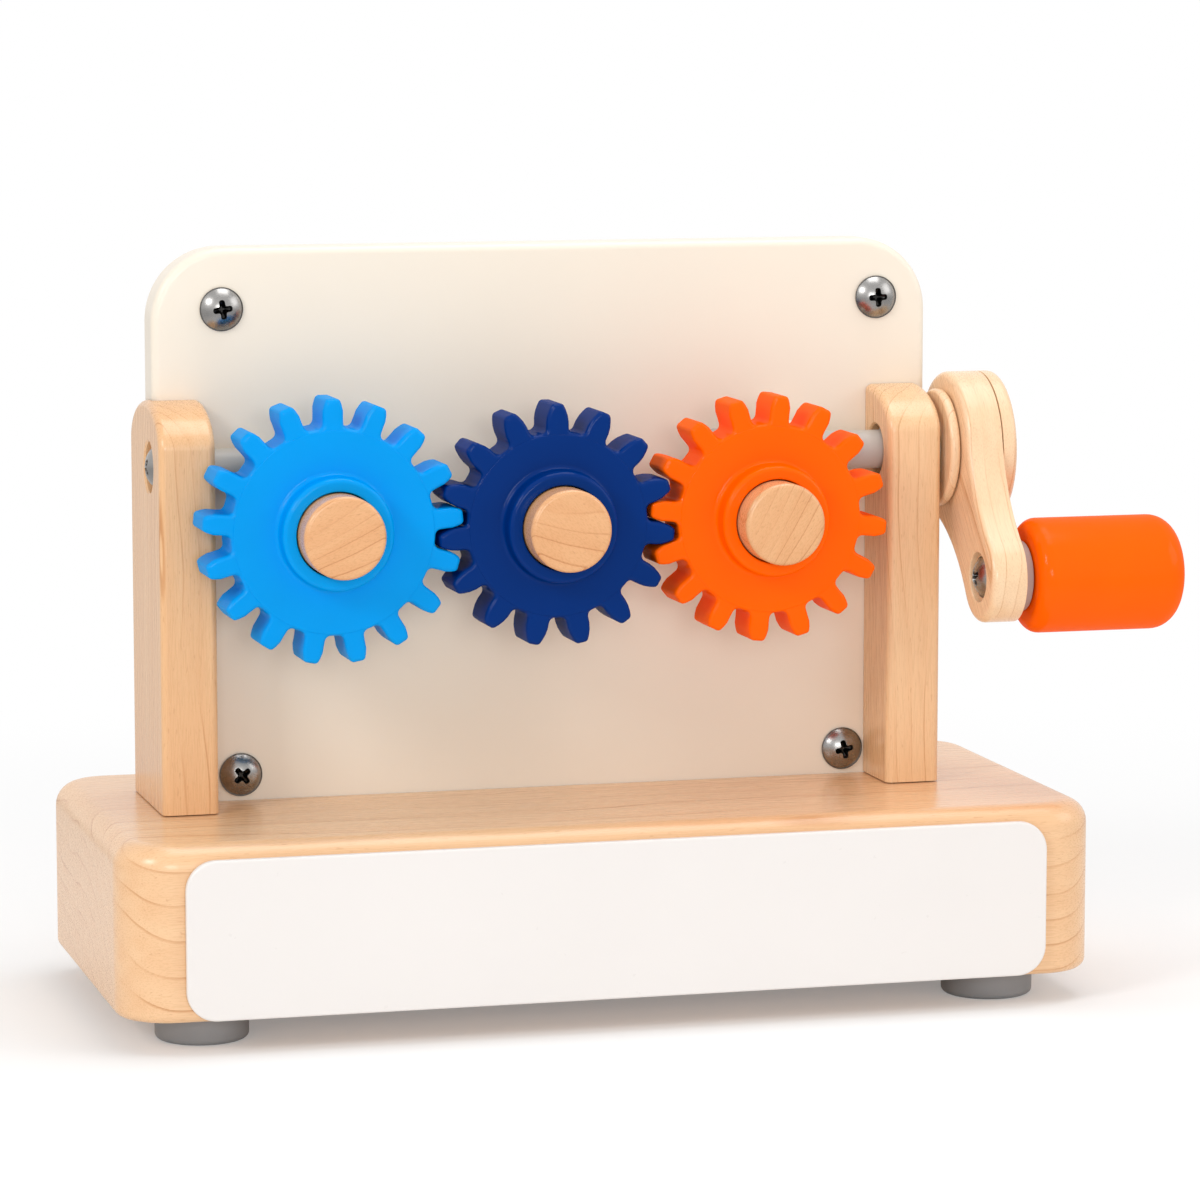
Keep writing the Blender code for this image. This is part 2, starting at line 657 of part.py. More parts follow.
def make_post(name, inner, outer):
    side = 1 if outer > inner else -1
    mesh = plate_mesh(name, [post_outline()], POST_WIDTH)
    face = POST_WIDTH / 2

    def is_rim(first, second):
        stands = max(first.y, second.y) > POST_BOTTOM + SAME_PLACE
        return stands and (on_height(first, second, face) or on_height(first, second, -face))

    round_edges(mesh, POST_EDGE, is_rim)
    post = new_object(name, mesh, maple, ((inner + outer) / 2, 0.0, 0.0), SIDE_OUTLINE, model)
    groove = new_cutter(
        name + "_groove",
        plate_mesh("groove", [groove_outline(inner, side)], PANEL_THICKNESS + 2 * GAP),
        (0.0, (PANEL_FRONT_Y + PANEL_BACK_Y) / 2, 0.0), FACE_FRONT, model)
    combine(post, groove, "DIFFERENCE")
    for x, y in frame_screw_places():
        if min(inner, outer) < x < max(inner, outer):
            tip = BASE_BOTTOM + FRAME_SCREW_SINK + FRAME_SCREW_LENGTH + GAP
            drill(post, PILOT_RADIUS, (x, y, BASE_TOP - TONGUE_DEPTH), (x, y, tip))
    return post


def groove_outline(inner, side):
    """Room for the panel's tongue up the post's inner face, and for its shoulder in the post's top."""
    shoulder = PANEL_RIGHT + GAP if side > 0 else PANEL_LEFT - GAP
    open_side = inner - side * TONGUE_DEPTH
    tongue = inner + side * (TONGUE_DEPTH + GAP)
    low = POST_BOTTOM - TONGUE_DEPTH
    seat = POST_TOP - SHOULDER_DEPTH
    high = POST_TOP + TONGUE_DEPTH
    return [
        (open_side, low), (open_side, high), (shoulder, high), (shoulder, seat), (tongue, seat),
        (tongue, low)]


def make_posts():
    left = make_post("left_post", LEFT_POST_INNER, LEFT_POST_OUTER)
    right = make_post("right_post", RIGHT_POST_INNER, RIGHT_POST_OUTER)
    outside = LEFT_POST_OUTER - TONGUE_DEPTH
    recess_floor = LEFT_POST_OUTER + STUB_SCREW_SINK + GAP
    drill(
        left, STUB_RADIUS + GAP, (outside, STUB_Y, SHAFT_Z),
        (LEFT_POST_INNER + TONGUE_DEPTH, STUB_Y, SHAFT_Z), steps=MEDIUM_STEPS)
    drill(
        left, DOME_RADIUS + SCREW_RECESS_MARGIN, (outside, STUB_Y, SHAFT_Z),
        (recess_floor, STUB_Y, SHAFT_Z), steps=FINE_STEPS)
    drill(
        right, SHAFT_RADIUS + BUSH_WALL + 2 * GAP, (RIGHT_POST_INNER - TONGUE_DEPTH, SHAFT_Y, SHAFT_Z),
        (RIGHT_POST_OUTER + TONGUE_DEPTH, SHAFT_Y, SHAFT_Z), steps=FINE_STEPS)


def make_panel():
    """A board with round top corners; the corners below are cut away to leave the tongue."""
    bottom = BASE_TOP - TONGUE_DEPTH
    loop = [(PANEL_LEFT, bottom), (PANEL_RIGHT, bottom)]
    loop += arc(PANEL_RIGHT - PANEL_CORNER, PANEL_TOP - PANEL_CORNER, PANEL_CORNER, 0.0, 90.0, 7)
    loop += arc(PANEL_LEFT + PANEL_CORNER, PANEL_TOP - PANEL_CORNER, PANEL_CORNER, 90.0, 180.0, 7)
    mesh = plate_mesh("back_panel", [loop], PANEL_THICKNESS)
    face = PANEL_THICKNESS / 2

    def is_free_rim(first, second):
        above = max(first.y, second.y) > bottom + SAME_PLACE
        return above and (on_height(first, second, face) or on_height(first, second, -face))

    round_edges(mesh, PANEL_EDGE, is_free_rim)
    middle = (PANEL_FRONT_Y + PANEL_BACK_Y) / 2
    panel = new_object("back_panel", mesh, cream, (0.0, middle, 0.0), FACE_FRONT, model)
    low = bottom - TONGUE_DEPTH
    shoulder = POST_TOP - SHOULDER_DEPTH + GAP
    front = PANEL_FRONT_Y - TONGUE_DEPTH
    back = PANEL_BACK_Y + TONGUE_DEPTH
    tongue_left = LEFT_POST_INNER - TONGUE_DEPTH
    tongue_right = RIGHT_POST_INNER + TONGUE_DEPTH
    mill(panel, (PANEL_LEFT - TONGUE_DEPTH, front, low), (tongue_left, back, shoulder))
    mill(panel, (tongue_right, front, low), (PANEL_RIGHT + TONGUE_DEPTH, back, shoulder))
    for x, z in panel_screw_places().values():
        drill(
            panel, DOME_SHANK_RADIUS + GAP, (x, PANEL_FRONT_Y - TONGUE_DEPTH, z),
            (x, PANEL_BACK_Y + TONGUE_DEPTH, z))
    for x in gear_places().values():
        drill(
            panel, PEG_TENON_RADIUS + GAP, (x, PANEL_FRONT_Y - TONGUE_DEPTH, GEAR_Z),
            (x, PANEL_BACK_Y + TONGUE_DEPTH, GEAR_Z), steps=MEDIUM_STEPS)


def panel_screw_places():
    top = PANEL_TOP - SCREW_TOP_DROP
    bottom = BASE_TOP + SCREW_BOTTOM_RISE
    return {
        "top_left": (PANEL_LEFT + SCREW_TOP_LEFT_INSET, top),
        "top_right": (PANEL_RIGHT - SCREW_TOP_RIGHT_INSET, top),
        "bottom_left": (PANEL_LEFT + SCREW_BOTTOM_LEFT_INSET, bottom),
        "bottom_right": (PANEL_RIGHT - SCREW_BOTTOM_RIGHT_INSET, bottom)}


def gear_places():
    """Neighbours stand half of their teeth together times the module apart."""
    middle = GEAR_LEFT_X + GEAR_MODULE * (LEFT_TEETH + MIDDLE_TEETH) / 2
    right = middle + GEAR_MODULE * (MIDDLE_TEETH + RIGHT_TEETH) / 2
    return {"left": GEAR_LEFT_X, "middle": middle, "right": right}


def make_panel_screws():
    for name, (x, z) in panel_screw_places().items():
        dome_screw(
            "panel_screw_" + name, DOME_RADIUS, DOME_HEIGHT, DOME_SHANK_RADIUS, PANEL_SCREW_LENGTH,
            (x, PANEL_FRONT_Y - GAP, z), FACE_FRONT)


def make_upright(name, edge, side):
    """A board behind the panel, with a shoulder that reaches over the post."""
    outer = edge + side * GAP
    inner = outer + side * UPRIGHT_WIDTH
    shoulder = outer - side * UPRIGHT_SHOULDER
    notch = POST_TOP + GAP
    top = PANEL_TOP - UPRIGHT_TOP_DROP
    loop = [
        (outer, POST_BOTTOM), (inner, POST_BOTTOM), (inner, top), (shoulder, top),
        (shoulder, notch), (outer, notch)]
    mesh = plate_mesh(name, [loop], UPRIGHT_THICKNESS)
    middle = (UPRIGHT_FRONT_Y + UPRIGHT_BACK_Y) / 2
    board = new_object(name, mesh, maple, (0.0, middle, 0.0), FACE_FRONT, model)
    reach = (min(inner, shoulder), max(inner, shoulder))
    for x, z in panel_screw_places().values():
        if reach[0] < x < reach[1]:
            drill(
                board, DOME_SHANK_RADIUS + GAP, (x, UPRIGHT_FRONT_Y - TONGUE_DEPTH, z),
                (x, UPRIGHT_BACK_Y + TONGUE_DEPTH, z))
    for x, y in frame_screw_places():
        if reach[0] < x < reach[1] and y > UPRIGHT_FRONT_Y and abs(x - outer) < UPRIGHT_WIDTH:
            tip = BASE_BOTTOM + FRAME_SCREW_SINK + FRAME_SCREW_LENGTH + GAP
            drill(board, PILOT_RADIUS, (x, y, BASE_TOP - TONGUE_DEPTH), (x, y, tip))


def make_rail():
    left = LEFT_POST_INNER + UPRIGHT_WIDTH + 2 * GAP
    right = RIGHT_POST_INNER - UPRIGHT_WIDTH - 2 * GAP
    loop = [
        (left, GEAR_Z - RAIL_HEIGHT / 2), (right, GEAR_Z - RAIL_HEIGHT / 2),
        (right, GEAR_Z + RAIL_HEIGHT / 2), (left, GEAR_Z + RAIL_HEIGHT / 2)]
    holes = [
        circle(x, GEAR_Z, PEG_TENON_RADIUS + GAP, MEDIUM_STEPS) for x in gear_places().values()]
    mesh = plate_mesh("axle_rail", [loop] + holes, UPRIGHT_THICKNESS)
    middle = (UPRIGHT_FRONT_Y + UPRIGHT_BACK_Y) / 2
    new_object("axle_rail", mesh, maple, (0.0, middle, 0.0), FACE_FRONT, model)


def make_frame_screws():
    names = (
        "post_screw_left_front", "post_screw_left_back", "post_screw_right_front",
        "post_screw_right_back", "upright_screw_left", "upright_screw_right")
    for name, (x, y) in zip(names, frame_screw_places()):
        pan_screw(
            name, FRAME_SCREW_LENGTH, (x, y, BASE_BOTTOM + FRAME_SCREW_SINK - GAP), FACE_DOWN)


def make_axle(name, x):
    """Peg, its screw and washer from behind; local Z runs to the front from the panel's face."""
    face = PANEL_FRONT_Y - GAP
    head_front = face - PEG_FRONT_Y
    head_back = face - PEG_SHOULDER_Y
    tenon_end = face - UPRIGHT_BACK_Y
    pilot_end = tenon_end + AXLE_SCREW_LENGTH
    profile = [(0.0, head_front)]
    profile += rounded_profile(PEG_HEAD_RADIUS, PEG_EDGE, head_front, 1)
    profile += [
        (PEG_HEAD_RADIUS, head_back), (PEG_STEM_RADIUS, head_back), (PEG_STEM_RADIUS, 0.0),
        (PEG_TENON_RADIUS, 0.0), (PEG_TENON_RADIUS, tenon_end), (PILOT_RADIUS, tenon_end),
        (PILOT_RADIUS, pilot_end), (0.0, pilot_end)]
    mesh = turned_mesh("axle_peg_" + name, profile, FINE_STEPS)
    new_object("axle_peg_" + name, mesh, maple, (x, face, GEAR_Z), FACE_FRONT, model)
    washer_back = UPRIGHT_BACK_Y + GAP + AXLE_WASHER_THICKNESS
    washer = turned_mesh(
        "axle_washer_" + name,
        ring_profile(AXLE_WASHER_RADIUS, PILOT_RADIUS, AXLE_WASHER_THICKNESS, 0.0), SMALL_STEPS,
        ring=True)
    new_object(
        "axle_washer_" + name, washer, steel, (x, UPRIGHT_BACK_Y + GAP, GEAR_Z), FACE_BACK, model)
    pan_screw("axle_screw_" + name, AXLE_SCREW_LENGTH, (x, washer_back + GAP, GEAR_Z), FACE_BACK)


def make_spacer(name, x, front):
    length = PANEL_FRONT_Y - GAP - front
    mesh = turned_mesh(
        "spacer_" + name, ring_profile(SPACER_RADIUS, PEG_STEM_RADIUS + GAP, length, 0.0),
        MEDIUM_STEPS, ring=True)
    new_object(
        "spacer_" + name, mesh, nylon, (x, PANEL_FRONT_Y - GAP, GEAR_Z), FACE_FRONT, model)


def make_gear(name, x, teeth, shift, phase, finish):
    """A toothed disc with a raised collar; its origin is on its axle, at its front face."""
    outline = gear_outline(
        teeth, GEAR_MODULE, GEAR_PRESSURE_ANGLE, shift, TOOTH_ROOT, GEAR_BACKLASH,
        GEAR_TIP_ROUNDING, GEAR_ROOT_FILLET, phase)
    pocket = PEG_HEAD_RADIUS + GAP
    hole = circle(0.0, 0.0, (pocket + COLLAR_RADIUS) / 2, MEDIUM_STEPS)
    mesh = plate_mesh(name, [outline, hole], GEAR_THICKNESS, -GEAR_THICKNESS / 2)

    def is_tooth_rim(first, second):
        return first.xy.length > COLLAR_RADIUS and on_height(first, second, 0.0)

    round_edges(mesh, GEAR_EDGE, is_tooth_rim, steps=1)
    gear = new_object(name, mesh, finish, (x, GEAR_FRONT_Y, GEAR_Z), FACE_FRONT, model)
    floor = GEAR_FRONT_Y - PEG_SHOULDER_Y - GAP
    back = -GEAR_THICKNESS - HUB_PROUD
    bore = PEG_STEM_RADIUS + GAP
    profile = rounded_profile(COLLAR_RADIUS, COLLAR_EDGE, COLLAR_HEIGHT, EDGE_STEPS)
    profile += [
        (COLLAR_RADIUS, back), (bore, back), (bore, floor), (pocket, floor), (pocket, COLLAR_HEIGHT)]
    hub = new_cutter(
        name + "_hub", turned_mesh(name + "_hub", profile, ROUND_STEPS, ring=True),
        (x, GEAR_FRONT_Y, GEAR_Z), FACE_FRONT, model)
    combine(gear, hub, "UNION")
    return gear


def hexagon(radius):
    return circle(0.0, 0.0, radius, 6)


def make_gears():
    """The teeth of two neighbours meet tooth to gap on the line between their axles."""
    places = gear_places()
    left_phase = 90.0
    left_pitch = 360.0 / LEFT_TEETH
    middle_pitch = 360.0 / MIDDLE_TEETH
    right_pitch = 360.0 / RIGHT_TEETH
    middle_phase = 180.0 - (left_phase / left_pitch - 0.5) * middle_pitch
    right_phase = 180.0 - (middle_phase / middle_pitch - 0.5) * right_pitch
    make_gear("gear_left", places["left"], LEFT_TEETH, -TOOTH_SHIFT, left_phase, light_blue)
    make_gear("gear_middle", places["middle"], MIDDLE_TEETH, TOOTH_SHIFT, middle_phase, navy)
    right = make_gear("gear_right", places["right"], RIGHT_TEETH, -TOOTH_SHIFT, right_phase, orange)
    pocket = plate_mesh("hex_pocket", [hexagon(DRIVE_HEX_RADIUS + GAP)], 2 * (DRIVE_HEX_DEPTH + GAP))
    tool = new_cutter("hex_pocket", pocket, (places["right"], HUB_BACK_Y, GEAR_Z), FACE_FRONT, model)
    combine(right, tool, "DIFFERENCE")


def make_wheel(x):
    """Helical wheel, its hub and the six-sided end that turns the right gear."""
    outline = gear_outline(
        WHEEL_TEETH, WORM_MODULE, WORM_PRESSURE_ANGLE, 0.0, WORM_TOOTH_ROOT, WORM_BACKLASH,
        0.0, WHEEL_FILLET, 90.0)
    twist = WHEEL_WIDTH * (WORM_LEAD / (2 * math.pi * WORM_RADIUS)) / WHEEL_RADIUS
    mesh = twisted_mesh("worm_wheel", outline, WHEEL_WIDTH, twist, 3)
    wheel = new_object("worm_wheel", mesh, nylon, (x, SHAFT_Y, GEAR_Z), FACE_FRONT, model)
    hub_front = SHAFT_Y - HUB_BACK_Y
    hub = turned_mesh(
        "wheel_hub",
        [(0.0, hub_front - GAP), (WHEEL_HUB_RADIUS, hub_front - GAP), (WHEEL_HUB_RADIUS, 0.0), (0.0, 0.0)],
        MEDIUM_STEPS)
    hub_tool = new_cutter("wheel_hub", hub, (0.0, 0.0, 0.0), FACE_UP, wheel)
    combine(wheel, hub_tool, "UNION")
    reach = DRIVE_HEX_DEPTH + 2 * GAP
    drive = plate_mesh("wheel_drive", [hexagon(DRIVE_HEX_RADIUS)], reach)
    drive_tool = new_cutter(
        "wheel_drive", drive, (0.0, 0.0, hub_front + DRIVE_HEX_DEPTH - reach / 2), FACE_UP, wheel)
    combine(wheel, drive_tool, "UNION")
    drill(
        wheel, PEG_STEM_RADIUS + GAP, (x, GEAR_FRONT_Y, GEAR_Z), (x, PANEL_FRONT_Y, GEAR_Z),
        steps=MEDIUM_STEPS)


def make_shaft(worm_x):
    """Round rod with the worm moulded on its inner end and a square outer end for the crank."""
    right = BOSS_X - GAP
    end = ARM_OUTER_X - ARM_SCREW_SINK - GAP
    neck = WORM_ROOT_RADIUS - GAP
    worm_right = worm_x + WORM_LENGTH / 2 - GAP
    worm_left = worm_x - WORM_LENGTH / 2 + GAP
    profile = [
        (0.0, right), (SHAFT_RADIUS, right), (SHAFT_RADIUS, worm_right), (neck, worm_right),
        (neck, worm_left), (0.0, worm_left)]
    mesh = turned_mesh("drive_shaft", profile, FINE_STEPS)
    shaft = new_object("drive_shaft", mesh, shaft_grey, (0.0, 0.0, 0.0), FACE_RIGHT, crank_axis)
    twist = WORM_LENGTH / WORM_LEAD * 2 * math.pi
    thread = new_cutter(
        "worm_thread", twisted_mesh("worm_thread", worm_outline(), WORM_LENGTH, twist, MEDIUM_STEPS),
        (0.0, 0.0, worm_x), FACE_UP, shaft)
    combine(shaft, thread, "UNION")
    square_length = end - right + BOSS_THICKNESS
    square = new_cutter(
        "shaft_square", box_mesh("shaft_square", (SHAFT_SQUARE, SHAFT_SQUARE, square_length)),
        (0.0, 0.0, end - square_length / 2), FACE_UP, shaft)
    combine(shaft, square, "UNION")
    drill(
        shaft, PILOT_RADIUS, (end - PILOT_DEPTH, SHAFT_Y, SHAFT_Z),
        (ARM_OUTER_X + ARM_THICKNESS, SHAFT_Y, SHAFT_Z))


def make_bracket(worm_x):
    """Block glued to the panel beside the worm; it carries the shaft and keeps it from sliding out."""
    left = worm_x + WORM_LENGTH / 2 + BRACKET_CLEARANCE
    half_height = SHAFT_RADIUS + GAP + BRACKET_WALL
    front = SHAFT_Y - half_height
    back = PANEL_FRONT_Y - GAP
    mesh = box_mesh("shaft_bracket", (BRACKET_WIDTH, back - front, 2 * half_height))
    round_edges(mesh, BRACKET_EDGE, lambda a, b: True, steps=1)
    middle = (left + BRACKET_WIDTH / 2, (front + back) / 2, SHAFT_Z)
    bracket = new_object("shaft_bracket", mesh, cream, middle, FACE_UP, model)
    drill(
        bracket, SHAFT_RADIUS + GAP, (left - BRACKET_WIDTH, SHAFT_Y, SHAFT_Z),
        (left + 2 * BRACKET_WIDTH, SHAFT_Y, SHAFT_Z), steps=FINE_STEPS)


def make_bush():
    """Sleeve in the right post, its flange outside."""
    inner = SHAFT_RADIUS + GAP
    outer = inner + BUSH_WALL
    flange = outer + BUSH_FLANGE
    length = POST_WIDTH - BUSH_SINK
    profile = [
        (flange, BUSH_FLANGE_THICKNESS), (flange, 0.0), (outer, 0.0), (outer, -length),
        (inner, -length), (inner, BUSH_FLANGE_THICKNESS)]
    mesh = turned_mesh("shaft_bush", profile, FINE_STEPS, ring=True)
    new_object("shaft_bush", mesh, nylon, (BUSH_FLANGE_X, SHAFT_Y, SHAFT_Z), FACE_RIGHT, model)


def make_stub():
    """Pin from the left post to behind the left gear, and the screw that shows in the post's side."""
    head_x = LEFT_POST_OUTER + STUB_SCREW_SINK
    profile = [
        (0.0, STUB_LENGTH), (STUB_RADIUS, STUB_LENGTH), (STUB_RADIUS, 0.0), (PILOT_RADIUS, 0.0),
        (PILOT_RADIUS, PILOT_DEPTH), (0.0, PILOT_DEPTH)]
    mesh = turned_mesh("stub_shaft", profile, MEDIUM_STEPS)
    new_object("stub_shaft", mesh, shaft_grey, (head_x + GAP, STUB_Y, SHAFT_Z), FACE_RIGHT, model)
    dome_screw(
        "stub_screw", DOME_RADIUS, DOME_HEIGHT, PAN_SHANK_RADIUS, FOOT_SCREW_LENGTH,
        (head_x, STUB_Y, SHAFT_Z), FACE_LEFT)


def square_loop(size):
    half = size / 2
    return [(-half, -half), (half, -half), (half, half), (-half, half)]


def make_boss():
    loop = circle(0.0, 0.0, BOSS_RADIUS, ROUND_STEPS)
    mesh = plate_mesh("crank_boss", [loop, square_loop(SHAFT_SQUARE + 2 * GAP)], BOSS_THICKNESS)
    face = BOSS_THICKNESS / 2

    def is_outer_rim(first, second):
        outside = first.xy.length > SHAFT_SQUARE
        return outside and (on_height(first, second, face) or on_height(first, second, -face))

    round_edges(mesh, BOSS_EDGE, is_outer_rim)
    new_object("crank_boss", mesh, maple, (BOSS_X + face, 0.0, 0.0), SIDE_OUTLINE, crank_axis)


def arm_outline():
    """Hub and end circles joined by hollow sides; the end is at +X of the outline."""
    hub = ARM_HUB_RADIUS + ARM_WAIST_RADIUS
    end = ARM_END_RADIUS + ARM_WAIST_RADIUS
    along = (ARM_LENGTH ** 2 + hub ** 2 - end ** 2) / (2 * ARM_LENGTH)
    across = math.sqrt(hub ** 2 - along ** 2)
    hub_angle = math.degrees(math.atan2(across, along))
    end_angle = math.degrees(math.atan2(across, along - ARM_LENGTH))
    points = arc(0.0, 0.0, ARM_HUB_RADIUS, hub_angle, 360.0 - hub_angle, 14)
    points += arc(along, -across, ARM_WAIST_RADIUS, 180.0 - hub_angle, 180.0 - end_angle, 3)[1:-1]
    points += arc(ARM_LENGTH, 0.0, ARM_END_RADIUS, -end_angle, end_angle, 8)
    points += arc(along, across, ARM_WAIST_RADIUS, 180.0 + end_angle, 180.0 + hub_angle, 3)[1:-1]
    return points


def turned_loop(points, angle):
    """Turns an outline that points along +X so that it hangs down, angle towards the front."""
    turn = math.radians(-90.0) - angle
    return [
        (x * math.cos(turn) - y * math.sin(turn), x * math.sin(turn) + y * math.cos(turn))
        for x, y in points]


def make_arm():
    handle = circle(ARM_LENGTH, 0.0, HANDLE_BOLT_RADIUS + GAP, SMALL_STEPS)
    loops = [turned_loop(arm_outline(), ARM_ANGLE), square_loop(SHAFT_SQUARE + 2 * GAP)]
    loops.append(turned_loop(handle, ARM_ANGLE))
    mesh = plate_mesh("crank_arm", loops, ARM_THICKNESS)
    face = ARM_THICKNESS / 2
    end = Vector((HANDLE_Y - SHAFT_Y, HANDLE_Z - SHAFT_Z))

    def is_outline(first):
        return first.xy.length > SHAFT_SQUARE and (first.xy - end).length > HANDLE_HEAD_RADIUS

    round_edges(mesh, ARM_EDGE, lambda a, b: is_outline(a) and on_height(a, b, -face))
    round_edges(mesh, ARM_OUTER_EDGE, lambda a, b: is_outline(a) and on_height(a, b, face), steps=1)
    arm = new_object("crank_arm", mesh, maple, (ARM_X + face, 0.0, 0.0), SIDE_OUTLINE, crank_axis)
    recess = HANDLE_HEAD_RADIUS + SCREW_RECESS_MARGIN
    drill(
        arm, recess, (ARM_X - ARM_THICKNESS, HANDLE_Y, HANDLE_Z),
        (ARM_X + HANDLE_HEAD_SINK + GAP, HANDLE_Y, HANDLE_Z), steps=MEDIUM_STEPS)
    drill(
        arm, DOME_RADIUS + GAP, (ARM_OUTER_X - ARM_SCREW_SINK, SHAFT_Y, SHAFT_Z),
        (ARM_OUTER_X + ARM_THICKNESS, SHAFT_Y, SHAFT_Z), steps=HEAD_STEPS)


def make_arm_screw():
    radius = DOME_RADIUS - GAP
    height = ARM_SCREW_SINK - GAP
    profile = [
        (0.0, height), (radius - PAN_TAPER, height), (radius, 0.0), (PAN_SHANK_RADIUS, 0.0),
        (PAN_SHANK_RADIUS, -FOOT_SCREW_LENGTH + 2 * PAN_SHANK_RADIUS), (0.0, -FOOT_SCREW_LENGTH)]
    mesh = turned_mesh("crank_screw", profile, SMALL_STEPS)
    x = ARM_OUTER_X - ARM_SCREW_SINK
    new_object("crank_screw", mesh, steel, (x, 0.0, 0.0), FACE_RIGHT, crank_axis)


def make_cap():
    profile = [(0.0, CAP_THICKNESS)]
    profile += rounded_profile(ARM_HUB_RADIUS, CAP_EDGE, CAP_THICKNESS, EDGE_STEPS)
    profile += [(ARM_HUB_RADIUS, 0.0), (0.0, 0.0)]
    mesh = turned_mesh("crank_cap", profile, ROUND_STEPS)
    new_object("crank_cap", mesh, maple, (CAP_X, 0.0, 0.0), FACE_RIGHT, crank_axis)


def make_handle():
    """Bolt, washer, sleeve, retainer and nut turn with the crank; the grip spins on the sleeve."""
    bore = HANDLE_BOLT_RADIUS + GAP
    pocket_floor = GRIP_LENGTH - GRIP_POCKET_DEPTH
    sleeve_end = GRIP_X + pocket_floor + GAP
    retainer_end = sleeve_end + GAP + RETAINER_THICKNESS
    nut_end = retainer_end + GAP + NUT_THICKNESS
    head_x = ARM_X + HANDLE_HEAD_SINK
    dome_screw(
        "handle_bolt", HANDLE_HEAD_RADIUS, HANDLE_HEAD_HEIGHT, HANDLE_BOLT_RADIUS, nut_end + GAP - head_x,
        (head_x, 0.0, 0.0), FACE_LEFT, grip_axis)
    rings = (
        ("handle_washer", HANDLE_WASHER_RADIUS, CAP_X, HANDLE_WASHER_THICKNESS, washer_grey, ROUND_STEPS),
        ("handle_sleeve", HANDLE_SLEEVE_RADIUS, GRIP_X, sleeve_end - GRIP_X, steel, HEAD_STEPS),
        ("handle_retainer", GRIP_POCKET_RADIUS - 2 * GAP, sleeve_end + GAP, RETAINER_THICKNESS, steel,
         HEAD_STEPS))
    for name, radius, x, length, finish, steps in rings:
        mesh = turned_mesh(name, ring_profile(radius, bore, length, 0.0), steps, ring=True)
        new_object(name, mesh, finish, (x, 0.0, 0.0), FACE_RIGHT, grip_axis)
    nut_loops = [hexagon(NUT_RADIUS), circle(0.0, 0.0, bore, SMALL_STEPS)]
    nut = plate_mesh("handle_nut", nut_loops, NUT_THICKNESS)
    new_object(
        "handle_nut", nut, steel, (nut_end - NUT_THICKNESS / 2, 0.0, 0.0), FACE_RIGHT, grip_axis)
    grip_bore = HANDLE_SLEEVE_RADIUS + GAP
    profile = rounded_profile(GRIP_RADIUS, GRIP_OUTER_EDGE, GRIP_LENGTH, 2 * EDGE_STEPS)
    profile += arc(
        GRIP_RADIUS - GRIP_INNER_EDGE, GRIP_INNER_EDGE, GRIP_INNER_EDGE, 0.0, -90.0, EDGE_STEPS)
    profile += [
        (grip_bore, 0.0), (grip_bore, pocket_floor), (GRIP_POCKET_RADIUS, pocket_floor),
        (GRIP_POCKET_RADIUS, GRIP_LENGTH)]
    grip = turned_mesh("handle_grip", profile, FINE_STEPS, ring=True)
    new_object("handle_grip", grip, orange, (GRIP_X, 0.0, 0.0), FACE_RIGHT, grip_axis)
    plug_radius = GRIP_POCKET_RADIUS - GAP
    plug_profile = [
        (0.0, PLUG_THICKNESS), (plug_radius, PLUG_THICKNESS), (plug_radius, 0.0), (0.0, 0.0)]
    plug = turned_mesh("grip_plug", plug_profile, MEDIUM_STEPS)
    new_object(
        "grip_plug", plug, orange, (GRIP_END_X - PLUG_THICKNESS - GAP, 0.0, 0.0), FACE_RIGHT, grip_axis)


clear_scene()
parts = new_collection("mechanical_transmission_model")
cutters = new_collection("cutters")
model = new_empty("model_origin", parts, (-ORIGIN_X, -ORIGIN_Y, 0.0))
crank_axis = new_empty("crank_axis", parts, (0.0, SHAFT_Y, SHAFT_Z), model)
grip_axis = new_empty("grip_axis", parts, (0.0, HANDLE_Y - SHAFT_Y, HANDLE_Z - SHAFT_Z), crank_axis)

maple = new_material("maple", (0.82, 0.58, 0.33), 0.45)
cream = new_material("cream_lacquer", (0.86, 0.79, 0.67), 0.35)
plate_white = new_material("plate_white", (0.92, 0.90, 0.87), 0.35)
rubber = new_material("grey_rubber", (0.24, 0.24, 0.25), 0.8)
light_blue = new_material("light_blue_plastic", (0.0, 0.34, 0.92), 0.35)
navy = new_material("navy_plastic", (0.0, 0.03, 0.15), 0.35)
orange = new_material("orange_plastic", (1.0, 0.13, 0.0), 0.35)
nylon = new_material("nylon", (0.62, 0.60, 0.56), 0.5)
shaft_grey = new_material("shaft_grey", (0.50, 0.49, 0.46), 0.4)
washer_grey = new_material("washer_grey", (0.40, 0.34, 0.31), 0.5)
steel = new_material("polished_steel", (0.55, 0.55, 0.57), 0.2, 1.0)

axles = gear_places()
make_base()
make_plate()
make_feet()
make_posts()
make_panel()
make_panel_screws()
make_upright("rear_upright_left", LEFT_POST_INNER, 1)
make_upright("rear_upright_right", RIGHT_POST_INNER, -1)
make_rail()
make_frame_screws()
for axle_name, axle_x in axles.items():
    make_axle(axle_name, axle_x)
make_spacer("left", axles["left"], HUB_BACK_Y + GAP)
make_spacer("middle", axles["middle"], HUB_BACK_Y + GAP)
make_spacer("right", axles["right"], WHEEL_BACK_Y + GAP)
make_gears()
make_wheel(axles["right"])
make_shaft(axles["right"])
make_bracket(axles["right"])
make_bush()
make_stub()
make_boss()
make_arm()
make_arm_screw()
make_cap()
make_handle()
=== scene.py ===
"""Wooden mechanical transmission model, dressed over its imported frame."""
import math

import bmesh
import bpy
from mathutils import Euler, Matrix, Vector


